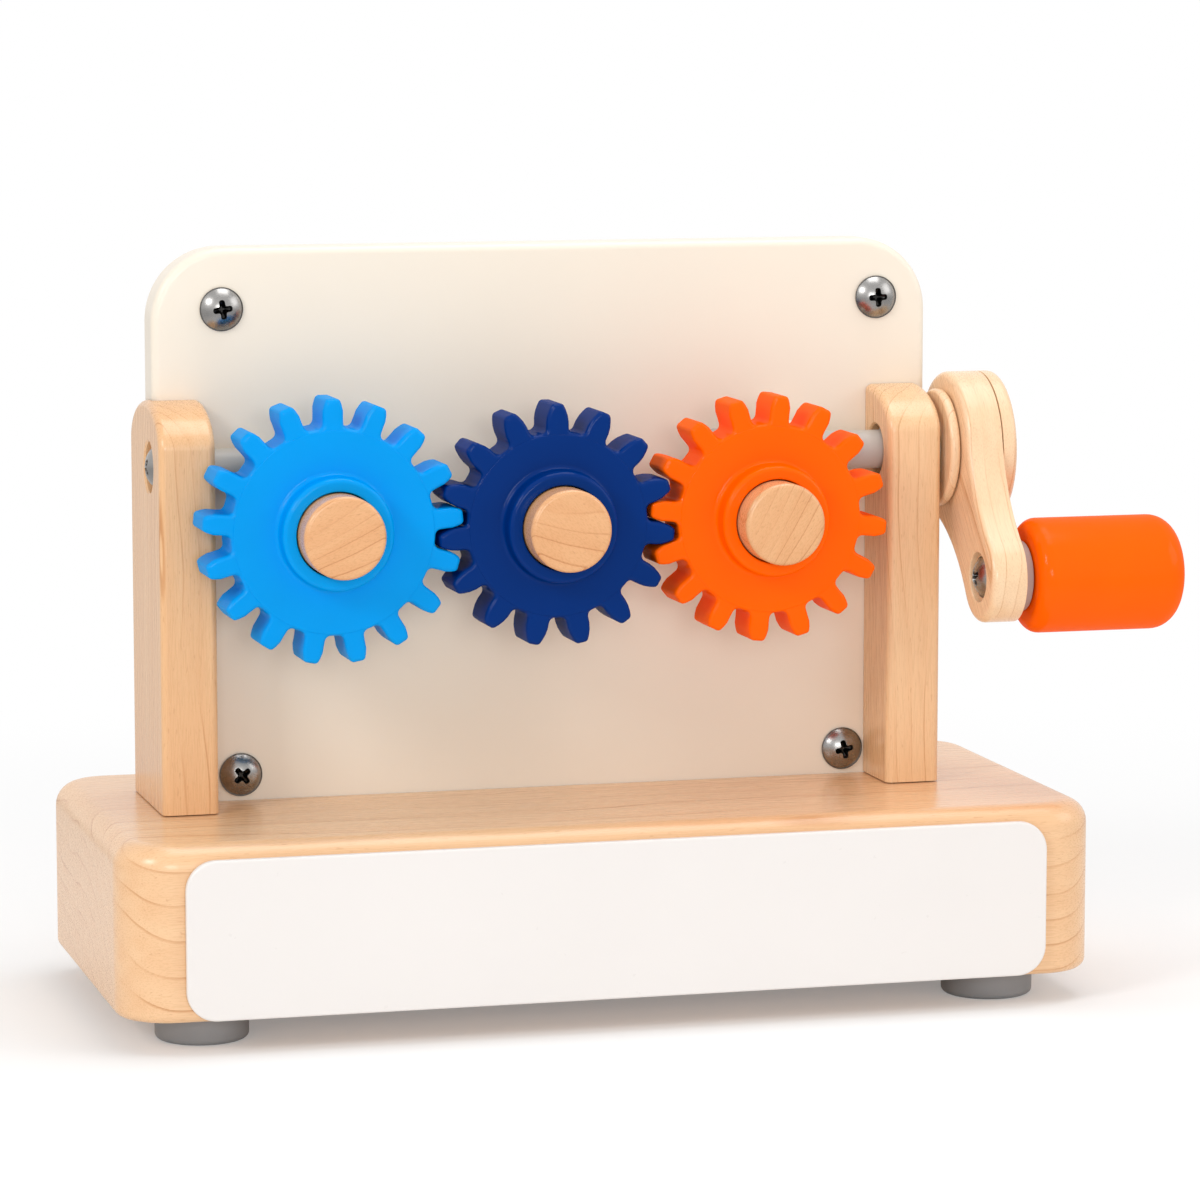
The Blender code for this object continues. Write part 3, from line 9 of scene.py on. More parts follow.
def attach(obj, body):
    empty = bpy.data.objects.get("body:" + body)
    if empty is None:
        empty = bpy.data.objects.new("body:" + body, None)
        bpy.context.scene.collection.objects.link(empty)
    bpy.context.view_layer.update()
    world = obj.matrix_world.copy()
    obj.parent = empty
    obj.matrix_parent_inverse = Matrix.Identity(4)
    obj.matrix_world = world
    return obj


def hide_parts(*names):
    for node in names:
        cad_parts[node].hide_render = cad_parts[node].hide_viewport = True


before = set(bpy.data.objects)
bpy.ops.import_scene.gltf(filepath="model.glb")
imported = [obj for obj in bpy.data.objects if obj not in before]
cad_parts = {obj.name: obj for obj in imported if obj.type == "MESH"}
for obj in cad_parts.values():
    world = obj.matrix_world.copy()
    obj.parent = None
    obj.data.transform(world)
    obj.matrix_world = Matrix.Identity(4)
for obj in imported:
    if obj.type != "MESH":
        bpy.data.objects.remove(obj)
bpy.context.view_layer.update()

MM = 0.001

# Every length below is in millimetres; X and Y are measured from the middle of the base.
# This is where that middle lies, seen from the model's origin.
ORIGIN_X = -14.0
ORIGIN_Y = 0.95

# Air between touching pieces, and round a shaft or peg that turns
GAP = 0.3

# How far raw ends and cutting tools reach past what they meet
SPARE = 5.0

# Base, feet and plate
BASE_WIDTH = 250.0
BASE_DEPTH = 113.6
BASE_BOTTOM = 7.9
BASE_TOP = 51.3
BASE_CORNER = 14.0
BASE_TOP_EDGE = 6.0
BASE_BOTTOM_EDGE = 2.5
SINK_BEVEL = 0.6
FOOT_RADIUS = 11.6
FOOT_HEIGHT = 7.6
FOOT_PLACES = {
    "front_left": (-102.0, -35.5), "front_right": (102.0, -35.5),
    "back_right": (102.0, 35.5), "back_left": (-102.0, 35.5)}
FOOT_RECESS = 4.4
FOOT_TOP_EDGE = 0.4
FOOT_BOTTOM_EDGE = 1.5
FOOT_BEVEL = 0.5
PLATE_WIDTH = 219.4
PLATE_BOTTOM = 8.5
PLATE_TOP = 47.9
PLATE_CORNER = 7.5
PLATE_THICKNESS = 1.6
PLATE_EDGE = 0.6

# Posts, panel and the frame behind it
POST_LEFT = -93.1
POST_RIGHT = 81.7
POST_WIDTH = 14.2
POST_FRONT = -15.0
POST_BACK = 27.0
POST_BOTTOM = BASE_TOP + GAP
POST_TOP = 153.3
POST_ARCH_RISE = 11.0
POST_EDGE = 1.8
POST_BORE_BEVEL = 0.45
PANEL_LEFT = -105.3
PANEL_RIGHT = 97.9
PANEL_TOP = 191.1
PANEL_FRONT = 5.0
PANEL_BACK = 17.0
PANEL_CORNER = 18.5
PANEL_EDGE = 2.0
PANEL_SPARE = 6.0
TONGUE = 5.0
SEAT = POST_TOP - 3.0
UPRIGHT_FRONT = PANEL_BACK + GAP
UPRIGHT_BACK = 27.0
UPRIGHT_WIDTH = 18.0
UPRIGHT_SHOULDER = 7.0
UPRIGHT_CORNER = 2.0
NOTCH_CORNER = 1.8
UPRIGHT_EDGE = 0.9
UPRIGHT_TOP = PANEL_TOP - 10.0
RAIL_HALF_HEIGHT = 13.0
RAIL_EDGE = 1.0
FINE_EDGE = 0.3
PANEL_HOLE_END = 35.0

# Screws
PANEL_SCREWS = {
    "top_left": (-87.7, 175.8, 8.0), "top_right": (84.2, 175.8, 3.0),
    "bottom_left": (-83.9, 57.9, 40.0), "bottom_right": (75.8, 57.9, 12.0)}
DOME_RADIUS = 5.5
DOME_HEIGHT = 2.7
PANEL_SHANK = 2.0
PANEL_SCREW_LENGTH = 19.0
PAN_RADIUS = 4.1
PAN_HEIGHT = 2.4
SHANK = 1.6
PILOT = SHANK + GAP
FOOT_SCREW_LENGTH = 15.0
FRAME_SCREW_LENGTH = 38.0
FRAME_SCREW_SINK = 20.0
POST_SCREW_FRONT = 6.5
POST_SCREW_BACK = 4.5
UPRIGHT_SCREW_SIDE = 3.8
AXLE_SCREW_LENGTH = 16.0
PILOT_TOP = BASE_BOTTOM + FRAME_SCREW_SINK + FRAME_SCREW_LENGTH + GAP

# Gears and their pegs; heights and shifts of the teeth are counted in modules
GEAR_X = {"left": -67.0, "middle": -10.2, "right": 44.825}
GEAR_Z = 123.1
GEAR_FRONT = -31.5
GEAR_THICKNESS = 14.0
HUB_PROUD = 0.5
HUB_BACK = GEAR_FRONT + GEAR_THICKNESS + HUB_PROUD
GEAR_MODULE = 3.55
GEAR_PRESSURE = math.radians(14.5)
TOOTH_TOP = 0.9
TOOTH_ROOT = 1.1
BACKLASH = 0.35
GEAR_TEETH = {"left": 17, "middle": 15, "right": 16}
GEAR_SHIFT = {"left": -0.15, "middle": 0.15, "right": -0.15}
GEAR_EDGE = 1.0
GEAR_TIP_ROUND = 1.15
GEAR_ROOT_ROUND = 1.5
GEAR_HOLE = 12.2
COLLAR_RADIUS = 14.0
COLLAR_HEIGHT = 6.0
PEG_RADIUS = 10.3
PEG_EDGE = 1.2
PEG_FRONT = -45.0
PEG_SHOULDER = -25.5
PEG_STEM = 5.0
PEG_TENON = 4.0
SPACER_RADIUS = 6.5
AXLE_WASHER_RADIUS = 7.0
AXLE_WASHER_THICKNESS = 1.0

# Worm, its wheel, the shaft and the pin in the left post
WORM_MODULE = 1.25
WORM_STARTS = 4
WORM_PRESSURE = math.radians(20.0)
WORM_ROOT = 1.2
WORM_RADIUS = 5.25
WORM_LENGTH = 15.0
WORM_BACKLASH = 0.5
WHEEL_TEETH = 14
WHEEL_WIDTH = 7.0
WHEEL_HUB = 6.5
DRIVE_RADIUS = 8.0
DRIVE_DEPTH = 3.0
SHAFT_Y = -3.375
SHAFT_Z = 137.1
SHAFT_RADIUS = 5.0
SHAFT_HALF_SQUARE = 3.5
BUSH_RADIUS = 6.2
BUSH_FLANGE_RADIUS = 7.6
BUSH_FLANGE = 0.8
BUSH_LENGTH = 12.2
BRACKET_LEFT = 54.025
BRACKET_WIDTH = 7.0
BRACKET_WALL = 2.2
BRACKET_CORNER = 0.8
BRACKET_EDGE = 0.7
STUB_RADIUS = 4.2
STUB_LENGTH = 31.0
STUB_Y = 0.4
STUB_HEAD_X = POST_LEFT - POST_WIDTH + 1.8
STUB_RECESS = DOME_RADIUS + 1.0
WORM_NECK = 0.6

# Crank and handle
BUSH_X = POST_RIGHT + POST_WIDTH + GAP
BOSS_X = BUSH_X + BUSH_FLANGE + GAP
BOSS_RADIUS = 15.2
BOSS_THICKNESS = 2.6
BOSS_EDGE = 1.0
ARM_X = BOSS_X + BOSS_THICKNESS + GAP
ARM_THICKNESS = 9.4
HUB_RADIUS = 19.6
END_RADIUS = 11.6
WAIST_RADIUS = 45.0
ARM_LENGTH = 41.2
ARM_ANGLE = math.radians(42.0)
ARM_INNER_EDGE = 1.7
ARM_OUTER_EDGE = 0.2
ARM_SCREW_SINK = 2.5
ARM_SPARE = 3.0
CAP_X = ARM_X + ARM_THICKNESS + GAP
CAP_THICKNESS = 4.0
CAP_EDGE = 1.7
HANDLE_Y = SHAFT_Y - ARM_LENGTH * math.sin(ARM_ANGLE)
HANDLE_Z = SHAFT_Z - ARM_LENGTH * math.cos(ARM_ANGLE)
BOLT_RADIUS = 2.5
BOLT_HEAD_RADIUS = 5.3
BOLT_HEAD_HEIGHT = 2.6
BOLT_SINK = 1.6
WASHER_RADIUS = 9.0
WASHER_THICKNESS = 2.4
GRIP_X = CAP_X + WASHER_THICKNESS + GAP
GRIP_LENGTH = 40.4
GRIP_RADIUS = 14.7
GRIP_OUTER_EDGE = 6.8
GRIP_INNER_EDGE = 3.5
SLEEVE_RADIUS = 4.0
POCKET_RADIUS = 7.6
POCKET_FLOOR = GRIP_LENGTH - 12.0
POCKET_BEVEL = 0.3
PLUG_THICKNESS = 3.5
NUT_HEIGHT = 5.2
BOLT_LENGTH = GRIP_X + POCKET_FLOOR + 4 * GAP + NUT_HEIGHT - ARM_X - BOLT_SINK

# Turns that bring a piece's Z to the named side; SIDE brings it to the right and Y upright
QUARTER = math.pi / 2
FRONT = Matrix.Rotation(QUARTER, 4, "X")
BACK = Matrix.Rotation(-QUARTER, 4, "X")
RIGHT = Matrix.Rotation(QUARTER, 4, "Y")
LEFT = Matrix.Rotation(-QUARTER, 4, "Y")
DOWN = Matrix.Rotation(math.pi, 4, "X")
UP = Matrix.Identity(4)
SIDE = Euler((QUARTER, 0.0, QUARTER)).to_matrix().to_4x4()
MIDDLE = (0.0, 0.0, 0.0)


# Shapes

def arc(x, y, radius, start, end, steps):
    """Points on an arc, both ends among them; angles in degrees."""
    points = []
    for i in range(steps + 1):
        angle = math.radians(start + (end - start) * i / steps)
        points.append((x + radius * math.cos(angle), y + radius * math.sin(angle)))
    return points


def circle(x, y, radius, steps=48):
    return arc(x, y, radius, 0.0, 360.0, steps)[:-1]


def rounded_rectangle(left, right, bottom, top, radius, steps=10):
    points = []
    for quarter in range(4):
        x = left + radius if quarter in (1, 2) else right - radius
        y = top - radius if quarter < 2 else bottom + radius
        points += arc(x, y, radius, 90.0 * quarter, 90.0 * (quarter + 1), steps)
    return points


def filleted(corners, steps=4):
    """A closed outline from (x, y, radius) corners, each rounded by its own radius."""
    points = []
    count = len(corners)
    for i, (x, y, radius) in enumerate(corners):
        if radius <= 0.0:
            points.append((x, y))
            continue
        here = Vector((x, y))
        before = Vector(corners[i - 1][:2]) - here
        after = Vector(corners[(i + 1) % count][:2]) - here
        half = before.angle(after) / 2
        reach = min(radius / math.tan(half), 0.48 * before.length, 0.48 * after.length)
        used = reach * math.tan(half)
        between = (before.normalized() + after.normalized()).normalized()
        centre = here + between * (used / math.sin(half))
        first = here + before.normalized() * reach - centre
        last = here + after.normalized() * reach - centre
        sweep = first.angle_signed(last)
        for k in range(steps + 1):
            way = first.copy()
            way.rotate(Matrix.Rotation(-sweep * k / steps, 2))
            points.append(tuple(centre + way))
    return points


def wound(loop, way):
    """The outline running round to the left, or for way -1 to the right."""
    area = sum(a[0] * b[1] - b[0] * a[1] for a, b in zip(loop, loop[1:] + loop[:1]))
    return loop if way * area > 0.0 else loop[::-1]


def inset(loop, distance):
    """The outline moved towards its left by distance, which is into the material."""
    points = []
    count = len(loop)
    for i in range(count):
        here = Vector(loop[i])
        arriving = (here - Vector(loop[i - 1])).normalized()
        leaving = (Vector(loop[(i + 1) % count]) - here).normalized()
        first = Vector((-arriving.y, arriving.x))
        second = Vector((-leaving.y, leaving.x))
        middle = (first + second).normalized()
        reach = distance / max(0.5, middle.dot(first))
        points.append(tuple(here + middle * reach))
    return points


def as_mesh(shape):
    mesh = bpy.data.meshes.new("mesh")
    shape.to_mesh(mesh)
    shape.free()
    return mesh


def add_object(name, data):
    thing = bpy.data.objects.new(name, data)
    bpy.context.scene.collection.objects.link(thing)
    return thing


def finished(shape):
    bmesh.ops.remove_doubles(shape, verts=shape.verts, dist=0.0001)
    bmesh.ops.recalc_face_normals(shape, faces=shape.faces)
    return as_mesh(shape)


def join_rings(shape, first, second):
    for i in range(len(first)):
        shape.faces.new((first[i - 1], first[i], second[i], second[i - 1]))


def plate(outer, holes, low, high, edge, steps=4, low_edge=None, hole_edge=None):
    """A plate between two heights, with rounded rims round the outline and its holes."""
    low_edge = edge if low_edge is None else low_edge
    hole_edge = edge if hole_edge is None else hole_edge
    loops = [(wound(outer, 1), edge, low_edge)]
    loops += [(wound(hole, -1), hole_edge, hole_edge) for hole in holes]
    shape = bmesh.new()
    for side, level in ((1, high), (-1, low)):
        rim_edges = []
        for loop, high_radius, low_radius in loops:
            radius = high_radius if side > 0 else low_radius
            rings = []
            for k in range(steps + 1):
                angle = math.radians(90.0 * k / steps)
                points = inset(loop, radius * (1 - math.sin(angle)))
                z = level - side * radius * (1 - math.cos(angle))
                rings.append([shape.verts.new((x, y, z)) for x, y in points])
            for upper, lower in zip(rings, rings[1:]):
                join_rings(shape, upper, lower)
            rim = rings[0]
            rim_edges += [shape.edges.get((rim[i - 1], rim[i])) for i in range(len(rim))]
        bmesh.ops.triangle_fill(shape, edges=rim_edges, use_beauty=True, use_dissolve=False)
    for loop, high_radius, low_radius in loops:
        walls = []
        for z in (high - high_radius, low + low_radius):
            walls.append([shape.verts.new((x, y, z)) for x, y in loop])
        join_rings(shape, walls[0], walls[1])
    return finished(shape)


def turned(profile, steps=64, ring=False):
    """A profile of (radius, height) turned about Z; ring joins its last point to its first."""
    shape = bmesh.new()
    rows = []
    for radius, z in profile:
        if radius == 0.0:
            rows.append([shape.verts.new((0.0, 0.0, z))])
        else:
            rows.append([shape.verts.new((x, y, z)) for x, y in circle(0.0, 0.0, radius, steps)])
    pairs = list(zip(rows, rows[1:]))
    if ring:
        pairs.append((rows[-1], rows[0]))
    for first, second in pairs:
        if len(first) > 1 and len(second) > 1:
            join_rings(shape, first, second)
        elif len(first) + len(second) > 2:
            tip = min(first, second, key=len)[0]
            row = max(first, second, key=len)
            for i in range(steps):
                shape.faces.new((tip, row[i - 1], row[i]))
    return finished(shape)


def top_edge(radius, z, edge, steps=5):
    """From a flat top round to the side."""
    return arc(radius - edge, z - edge, edge, 90.0, 0.0, steps)


def bottom_edge(radius, z, edge, steps=5):
    return arc(radius - edge, z + edge, edge, 0.0, -90.0, steps)


def washer(outer, inner, length, edge, steps=48):
    """A washer or sleeve from z = 0 up, with its outer rims rounded."""
    profile = top_edge(outer, length, edge, 3) + bottom_edge(outer, 0.0, edge, 3)
    return turned(profile + [(inner, 0.0), (inner, length)], steps, ring=True)


def block(low, high):
    low = Vector(low)
    size = Vector(high) - low
    shape = bmesh.new()
    bmesh.ops.create_cube(shape, size=1.0)
    bmesh.ops.scale(shape, vec=size, verts=shape.verts)
    bmesh.ops.translate(shape, vec=low + size / 2, verts=shape.verts)
    return finished(shape)


def rod(radius, start, end, steps=32):
    start = Vector(start)
    run = Vector(end) - start
    mesh = turned([(0.0, run.length), (radius, run.length), (radius, 0.0), (0.0, 0.0)], steps)
    mesh.transform(Matrix.Translation(start) @ run.to_track_quat("Z", "Y").to_matrix().to_4x4())
    return mesh


def moved(mesh, x, y, z, turn=UP):
    mesh.transform(Matrix.Translation((x, y, z)) @ turn)
    return mesh


def stacked(outlines):
    """A closed body through outlines of (x, y, z) points, one above the other."""
    shape = bmesh.new()
    rows = [[shape.verts.new(point) for point in outline] for outline in outlines]
    for first, second in zip(rows, rows[1:]):
        join_rings(shape, first, second)
    shape.faces.new(rows[0])
    shape.faces.new(rows[-1])
    return finished(shape)


def twisted(outline, length, twist, bands):
    """An outline carried along Z while it turns, closed at both ends."""
    outlines = []
    for band in range(bands + 1):
        share = band / bands - 0.5
        turn = Matrix.Rotation(twist * share, 2)
        outlines.append([(*(turn @ Vector(point)), length * share) for point in outline])
    return stacked(outlines)


def merged(meshes):
    shape = bmesh.new()
    for mesh in meshes:
        shape.from_mesh(mesh)
    return as_mesh(shape)


def cut(mesh, tools):
    """The mesh with every tool taken out of it."""
    body = add_object("cut_body", mesh)
    helpers = []
    for tool in tools:
        helper = add_object("cut_tool", tool)
        step = body.modifiers.new("Cut", "BOOLEAN")
        step.solver = "EXACT"
        step.object = helper
        helpers.append(helper)
    graph = bpy.context.evaluated_depsgraph_get()
    result = bpy.data.meshes.new_from_object(body.evaluated_get(graph))
    for helper in helpers + [body]:
        bpy.data.objects.remove(helper)
    return result


def piece(name, mesh, finish, node, turn=UP, place=MIDDLE, body="frame", sharp=38.0):
    """A piece of the scene, built in millimetres, that stands for one node of the frame."""
    material, slot = finish
    moved(mesh, *place, turn)
    mesh.transform(Matrix.Scale(MM, 4) @ Matrix.Translation((ORIGIN_X, ORIGIN_Y, 0.0)))
    thing = add_object(name, mesh)
    mesh.name = name
    mesh.materials.clear()
    mesh.materials.append(material)
    mesh.shade_smooth()
    mesh.set_sharp_from_angle(angle=math.radians(sharp))
    even = thing.modifiers.new("Even shading", "WEIGHTED_NORMAL")
    even.keep_sharp = True
    even.weight = 80
    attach(thing, body)
    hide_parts(node)


# Finishes; each comes with the name of its slot

def feed(tree, node, socket, value):
    """Gives a socket a plain value, or links another node's output to it."""
    if isinstance(value, bpy.types.NodeSocket):
        tree.links.new(value, node.inputs[socket])
    else:
        node.inputs[socket].default_value = value


def add_node(tree, kind, inputs=(), **settings):
    node = tree.nodes.new(kind)
    for key, value in settings.items():
        setattr(node, key, value)
    for socket, value in inputs:
        feed(tree, node, socket, value)
    return node


def maths(tree, operation, first, second=0.0):
    return add_node(
        tree, "ShaderNodeMath", ((0, first), (1, second)), operation=operation).outputs[0]


def times(tree, first, second):
    return maths(tree, "MULTIPLY", first, second)


def scaled(tree, value, amount, start):
    """start, plus amount for each unit of value."""
    return maths(tree, "ADD", times(tree, value, amount), start)


def soft_step(tree, value, low, high):
    """0 below low, 1 above high, smooth between."""
    return add_node(
        tree, "ShaderNodeMapRange", (("Value", value), ("From Min", low), ("From Max", high)),
        interpolation_type="SMOOTHSTEP").outputs[0]


def blend_colour(tree, factor, first, second):
    return add_node(
        tree, "ShaderNodeMix", ((0, factor), (6, first), (7, second)), data_type="RGBA"
    ).outputs[2]


def stretch(tree, vector, factors):
    return add_node(
        tree, "ShaderNodeVectorMath", ((0, vector), (1, factors)), operation="MULTIPLY"
    ).outputs[0]


def noise(tree, vector, along, across, detail=2.0, roughness=0.5):
    """Noise whose grains are along millimetres long in X and across millimetres wide."""
    stretched = stretch(tree, vector, (1 / along, 1 / across, 1 / across))
    return add_node(
        tree, "ShaderNodeTexNoise",
        (("Vector", stretched), ("Scale", 1.0), ("Detail", detail), ("Roughness", roughness))
    ).outputs["Fac"]


def shift(tree, value, amount):
    """Noise about a half turned into a shift of up to half amount each way."""
    return times(tree, maths(tree, "SUBTRACT", value, 0.5), amount)


def solid_colour(colour, share=1.0, tint=(1.0, 1.0, 1.0)):
    return tuple(min(1.0, c * share * t) for c, t in zip(colour, tint)) + (1.0,)


def new_finish(name):
    finish = bpy.data.materials.new(name)
    finish.use_nodes = True
    tree = finish.node_tree
    return finish, tree, tree.nodes["Principled BSDF"]


def grain_space(tree, grain=(1.0, 0.0, 0.0), centre=MIDDLE):
    """Object coordinates in millimetres from centre, with the grain along X."""
    turn = Vector(grain).rotation_difference(Vector((1.0, 0.0, 0.0))).to_euler()
    start = Vector((centre[0] + ORIGIN_X, centre[1] + ORIGIN_Y, centre[2]))
    start.rotate(turn)
    coords = add_node(tree, "ShaderNodeTexCoord").outputs["Object"]
    millimetres = stretch(tree, coords, (1 / MM,) * 3)
    return add_node(
        tree, "ShaderNodeMapping",
        (("Vector", millimetres), ("Location", -start), ("Rotation", turn))).outputs[0]


def roughen(tree, shader, height, strength, depth):
    """A bump of depth metres from height."""
    bump = add_node(
        tree, "ShaderNodeBump", (("Strength", strength), ("Distance", depth), ("Height", height)))
    tree.links.new(bump.outputs[0], shader.inputs["Normal"])


def feed_all(tree, shader, **values):
    """Values or links for the shader's sockets, which are named with low lines for spaces."""
    for socket, value in values.items():
        feed(tree, shader, socket.replace("_", " "), value)


# Painted shade in a screw's drive: the attribute that holds its share, where it starts and over
# what depth it grows, and the share of the head's radius in which it is painted
PIT_SHADE = "pit"
PIT_SHADE_START = 0.1
PIT_SHADE_FADE = 0.7
PIT_SHADE_REACH = 0.6

WOOD_LIGHT = (0.885, 0.610, 0.350)
WOOD_DEEP = (0.800, 0.490, 0.250)
WOOD_LINE = (0.610, 0.310, 0.125)
WOOD_FLECK = (0.560, 0.290, 0.130)
FRAME_TINT = (0.95, 0.88, 0.86)
CRANK_TINT = (1.0, 1.04, 1.14)
PEG_TINT = (0.86, 0.67, 0.55)
# The posts are one maple drawn as a shaded and a lit copy: the left post's darker tint is painted
# shade and the right post's paler tint painted light
POST_LIGHT_AND_SHADE_TINT = {"left": (0.93, 0.82, 0.74), "right": (0.97, 0.93, 0.91)}


def maple(name, grain, centre, pith, spacing=6.0, lines=0.5, tint=FRAME_TINT):
    """Lacquered maple: growth lines about a pith, long soft streaks, fine fibres and flecks.

    pith is where the lines' middle lies across the grain, seen from centre; spacing is how far
    apart they are, in millimetres, and lines is how strong.
    """
    finish, tree, shader = new_finish(name)
    p = grain_space(tree, grain, centre)
    split = add_node(tree, "ShaderNodeSeparateXYZ", ((0, p),)).outputs
    across = maths(tree, "POWER", maths(tree, "SUBTRACT", split[1], pith[0]), 2.0)
    upwards = maths(tree, "POWER", maths(tree, "SUBTRACT", split[2], pith[1]), 2.0)
    radius = maths(tree, "SQRT", maths(tree, "ADD", across, upwards))
    drift = shift(tree, noise(tree, p, 150.0, 45.0), 16.0)
    wobble = shift(tree, noise(tree, p, 45.0, 16.0), 2.0)
    warped = maths(tree, "ADD", maths(tree, "ADD", radius, drift), wobble)
    ring = maths(tree, "FRACT", maths(tree, "DIVIDE", warped, spacing))
    rise = soft_step(tree, ring, 0.88, 0.97)
    fall = soft_step(tree, ring, 1.0, 0.98)
    patchy = soft_step(tree, noise(tree, p, 60.0, 18.0), 0.34, 0.66)
    line = times(tree, times(tree, rise, fall), patchy)
    late = soft_step(tree, ring, 0.1, 0.95)
    streak = soft_step(tree, noise(tree, p, 120.0, 4.5, 3.0), 0.28, 0.72)
    fibre = noise(tree, p, 11.0, 0.32, 3.0, 0.6)
    fleck = soft_step(tree, noise(tree, p, 3.2, 0.45, 1.0), 0.66, 0.76)
    light = solid_colour(WOOD_LIGHT, 1.0, tint)
    deep = solid_colour(WOOD_DEEP, 1.0, tint)
    colour = blend_colour(tree, times(tree, streak, 0.45), light, deep)
    colour = blend_colour(tree, times(tree, late, 0.22), colour, deep)
    colour = blend_colour(
        tree, times(tree, line, lines), colour, solid_colour(WOOD_LINE, 1.0, tint))
    shade = scaled(tree, fibre, 0.14, 0.93)
    colour = add_node(
        tree, "ShaderNodeVectorMath", ((0, colour), (3, shade)), operation="SCALE").outputs[0]
    colour = blend_colour(
        tree, times(tree, fleck, 0.4), colour, solid_colour(WOOD_FLECK, 1.0, tint))
    feed_all(
        tree, shader, Base_Color=colour, Roughness=scaled(tree, fibre, 0.16, 0.20),
        Specular_IOR_Level=0.5, Coat_Weight=0.12, Coat_Roughness=0.18)
    roughen(tree, shader, fibre, 0.05, 0.00002)
    return finish, "maple"


def moulded(slot, colour, roughness=0.30, grain=1.4, depth=0.00002, spread=0.05, gloss=0.25,
            coat=0.0):
    """Moulded plastic or rubber: faint clouding, uneven gloss and a fine skin texture."""
    finish, tree, shader = new_finish(slot + "_fine")
    p = grain_space(tree)
    cloud = noise(tree, p, 14.0, 14.0, 3.0)
    skin = noise(tree, p, grain, grain)
    dark = solid_colour(colour, 1.0 - spread)
    pale = solid_colour(colour, 1.0 + spread)
    uneven = maths(tree, "ADD", cloud, skin)
    feed_all(
        tree, shader, Base_Color=blend_colour(tree, cloud, dark, pale),
        Roughness=scaled(tree, uneven, 0.06, roughness - 0.06),
        Specular_IOR_Level=gloss, Coat_Weight=coat, Coat_Roughness=0.09)
    roughen(tree, shader, skin, 0.25, depth)
    return finish, slot


def lacquer(slot, colour, roughness=0.36):
    """Sprayed lacquer: a very slow orange peel, a breath of mottling and fine dust."""
    finish, tree, shader = new_finish(slot + "_fine")
    p = grain_space(tree)
    peel = noise(tree, p, 2.2, 2.2)
    mottle = noise(tree, p, 40.0, 40.0, 3.0)
    dust = soft_step(tree, noise(tree, p, 0.35, 0.35, 1.0), 0.72, 0.84)
    base = blend_colour(tree, mottle, solid_colour(colour, 0.975), solid_colour(colour, 1.02))
    base = blend_colour(tree, times(tree, dust, 0.10), base, solid_colour(colour, 0.8))
    feed_all(
        tree, shader, Base_Color=base, Roughness=scaled(tree, peel, 0.1, roughness - 0.05),
        Specular_IOR_Level=0.42, Coat_Weight=0.1, Coat_Roughness=0.2)
    roughen(tree, shader, peel, 0.2, 0.00003)
    return finish, slot


def steel(name, colour=(0.34, 0.33, 0.32), roughness=0.26):
    """Polished steel with fine polishing marks, slight clouding and painted shade deep in the
    drives.
    """
    finish, tree, shader = new_finish(name)
    p = grain_space(tree)
    marks = noise(tree, p, 2.5, 0.12)
    cloud = noise(tree, p, 4.0, 4.0)
    base = blend_colour(tree, cloud, solid_colour(colour, 0.86), solid_colour(colour, 1.12))
    # Painted shade: the drives' recesses darken towards 0.12 of the steel's colour, as marked on
    # the mesh
    pit = add_node(tree, "ShaderNodeAttribute", attribute_name=PIT_SHADE).outputs["Fac"]
    base = blend_colour(tree, pit, base, solid_colour(colour, 0.12))
    feed_all(
        tree, shader, Base_Color=base, Roughness=scaled(tree, marks, 0.12, roughness - 0.04),
        Metallic=1.0)
    roughen(tree, shader, marks, 0.15, 0.00001)
    return finish, "polished_steel"


# Base, plate and feet

def frame_screw_places():
    """Screws up through the base: two in each post, one in each upright."""
    upright_y = (UPRIGHT_FRONT + UPRIGHT_BACK) / 2
    reach = GAP + UPRIGHT_WIDTH - UPRIGHT_SCREW_SIDE
    places = {}
    for side, middle in (
            ("left", POST_LEFT - POST_WIDTH / 2), ("right", POST_RIGHT + POST_WIDTH / 2)):
        places["post_screw_" + side + "_front"] = (middle, POST_FRONT + POST_SCREW_FRONT)
        places["post_screw_" + side + "_back"] = (middle, POST_BACK - POST_SCREW_BACK)
    places["upright_screw_left"] = (POST_LEFT + reach, upright_y)
    places["upright_screw_right"] = (POST_RIGHT - reach, upright_y)
    return places


def pilots(low, high, prefix):
    """Pilot holes for those screws from below whose node name starts with prefix."""
    return [
        rod(PILOT, (x, y, low), (x, y, high), 16)
        for node, (x, y) in frame_screw_places().items() if node.startswith(prefix)]


def add_base():
    half_x = BASE_WIDTH / 2
    half_y = BASE_DEPTH / 2
    outline = rounded_rectangle(-half_x, half_x, -half_y, half_y, BASE_CORNER, 16)
    mesh = plate(outline, [], BASE_BOTTOM, BASE_TOP, BASE_TOP_EDGE, 8, BASE_BOTTOM_EDGE)
    groove_low = (POST_LEFT - TONGUE - GAP, PANEL_FRONT - GAP, BASE_TOP - TONGUE - GAP)
    groove_high = (POST_RIGHT + TONGUE + GAP, PANEL_BACK + GAP, BASE_TOP + SPARE)
    tools = [block(groove_low, groove_high)]
    bore = PAN_RADIUS + 2 * GAP
    mouth = bore + SINK_BEVEL
    sink = [
        (0.0, FRAME_SCREW_SINK), (bore, FRAME_SCREW_SINK), (bore, 0.0), (mouth, -SINK_BEVEL),
        (mouth, -SPARE), (0.0, -SPARE)]
    for x, y in frame_screw_places().values():
        tools.append(moved(turned(sink, 32), x, y, BASE_BOTTOM))
    tools += pilots(BASE_BOTTOM, BASE_TOP + SPARE, "")
    pilot_top = BASE_BOTTOM + FOOT_SCREW_LENGTH
    for x, y in FOOT_PLACES.values():
        tools.append(rod(PILOT, (x, y, BASE_BOTTOM - SPARE), (x, y, pilot_top), 16))
    finish = maple("base_maple", (1.0, 0.0, 0.0), (0.0, 0.0, 29.0), (34.0, -118.0), 6.2, 0.9)
    piece("base_body", cut(mesh, tools), finish, "base_block")


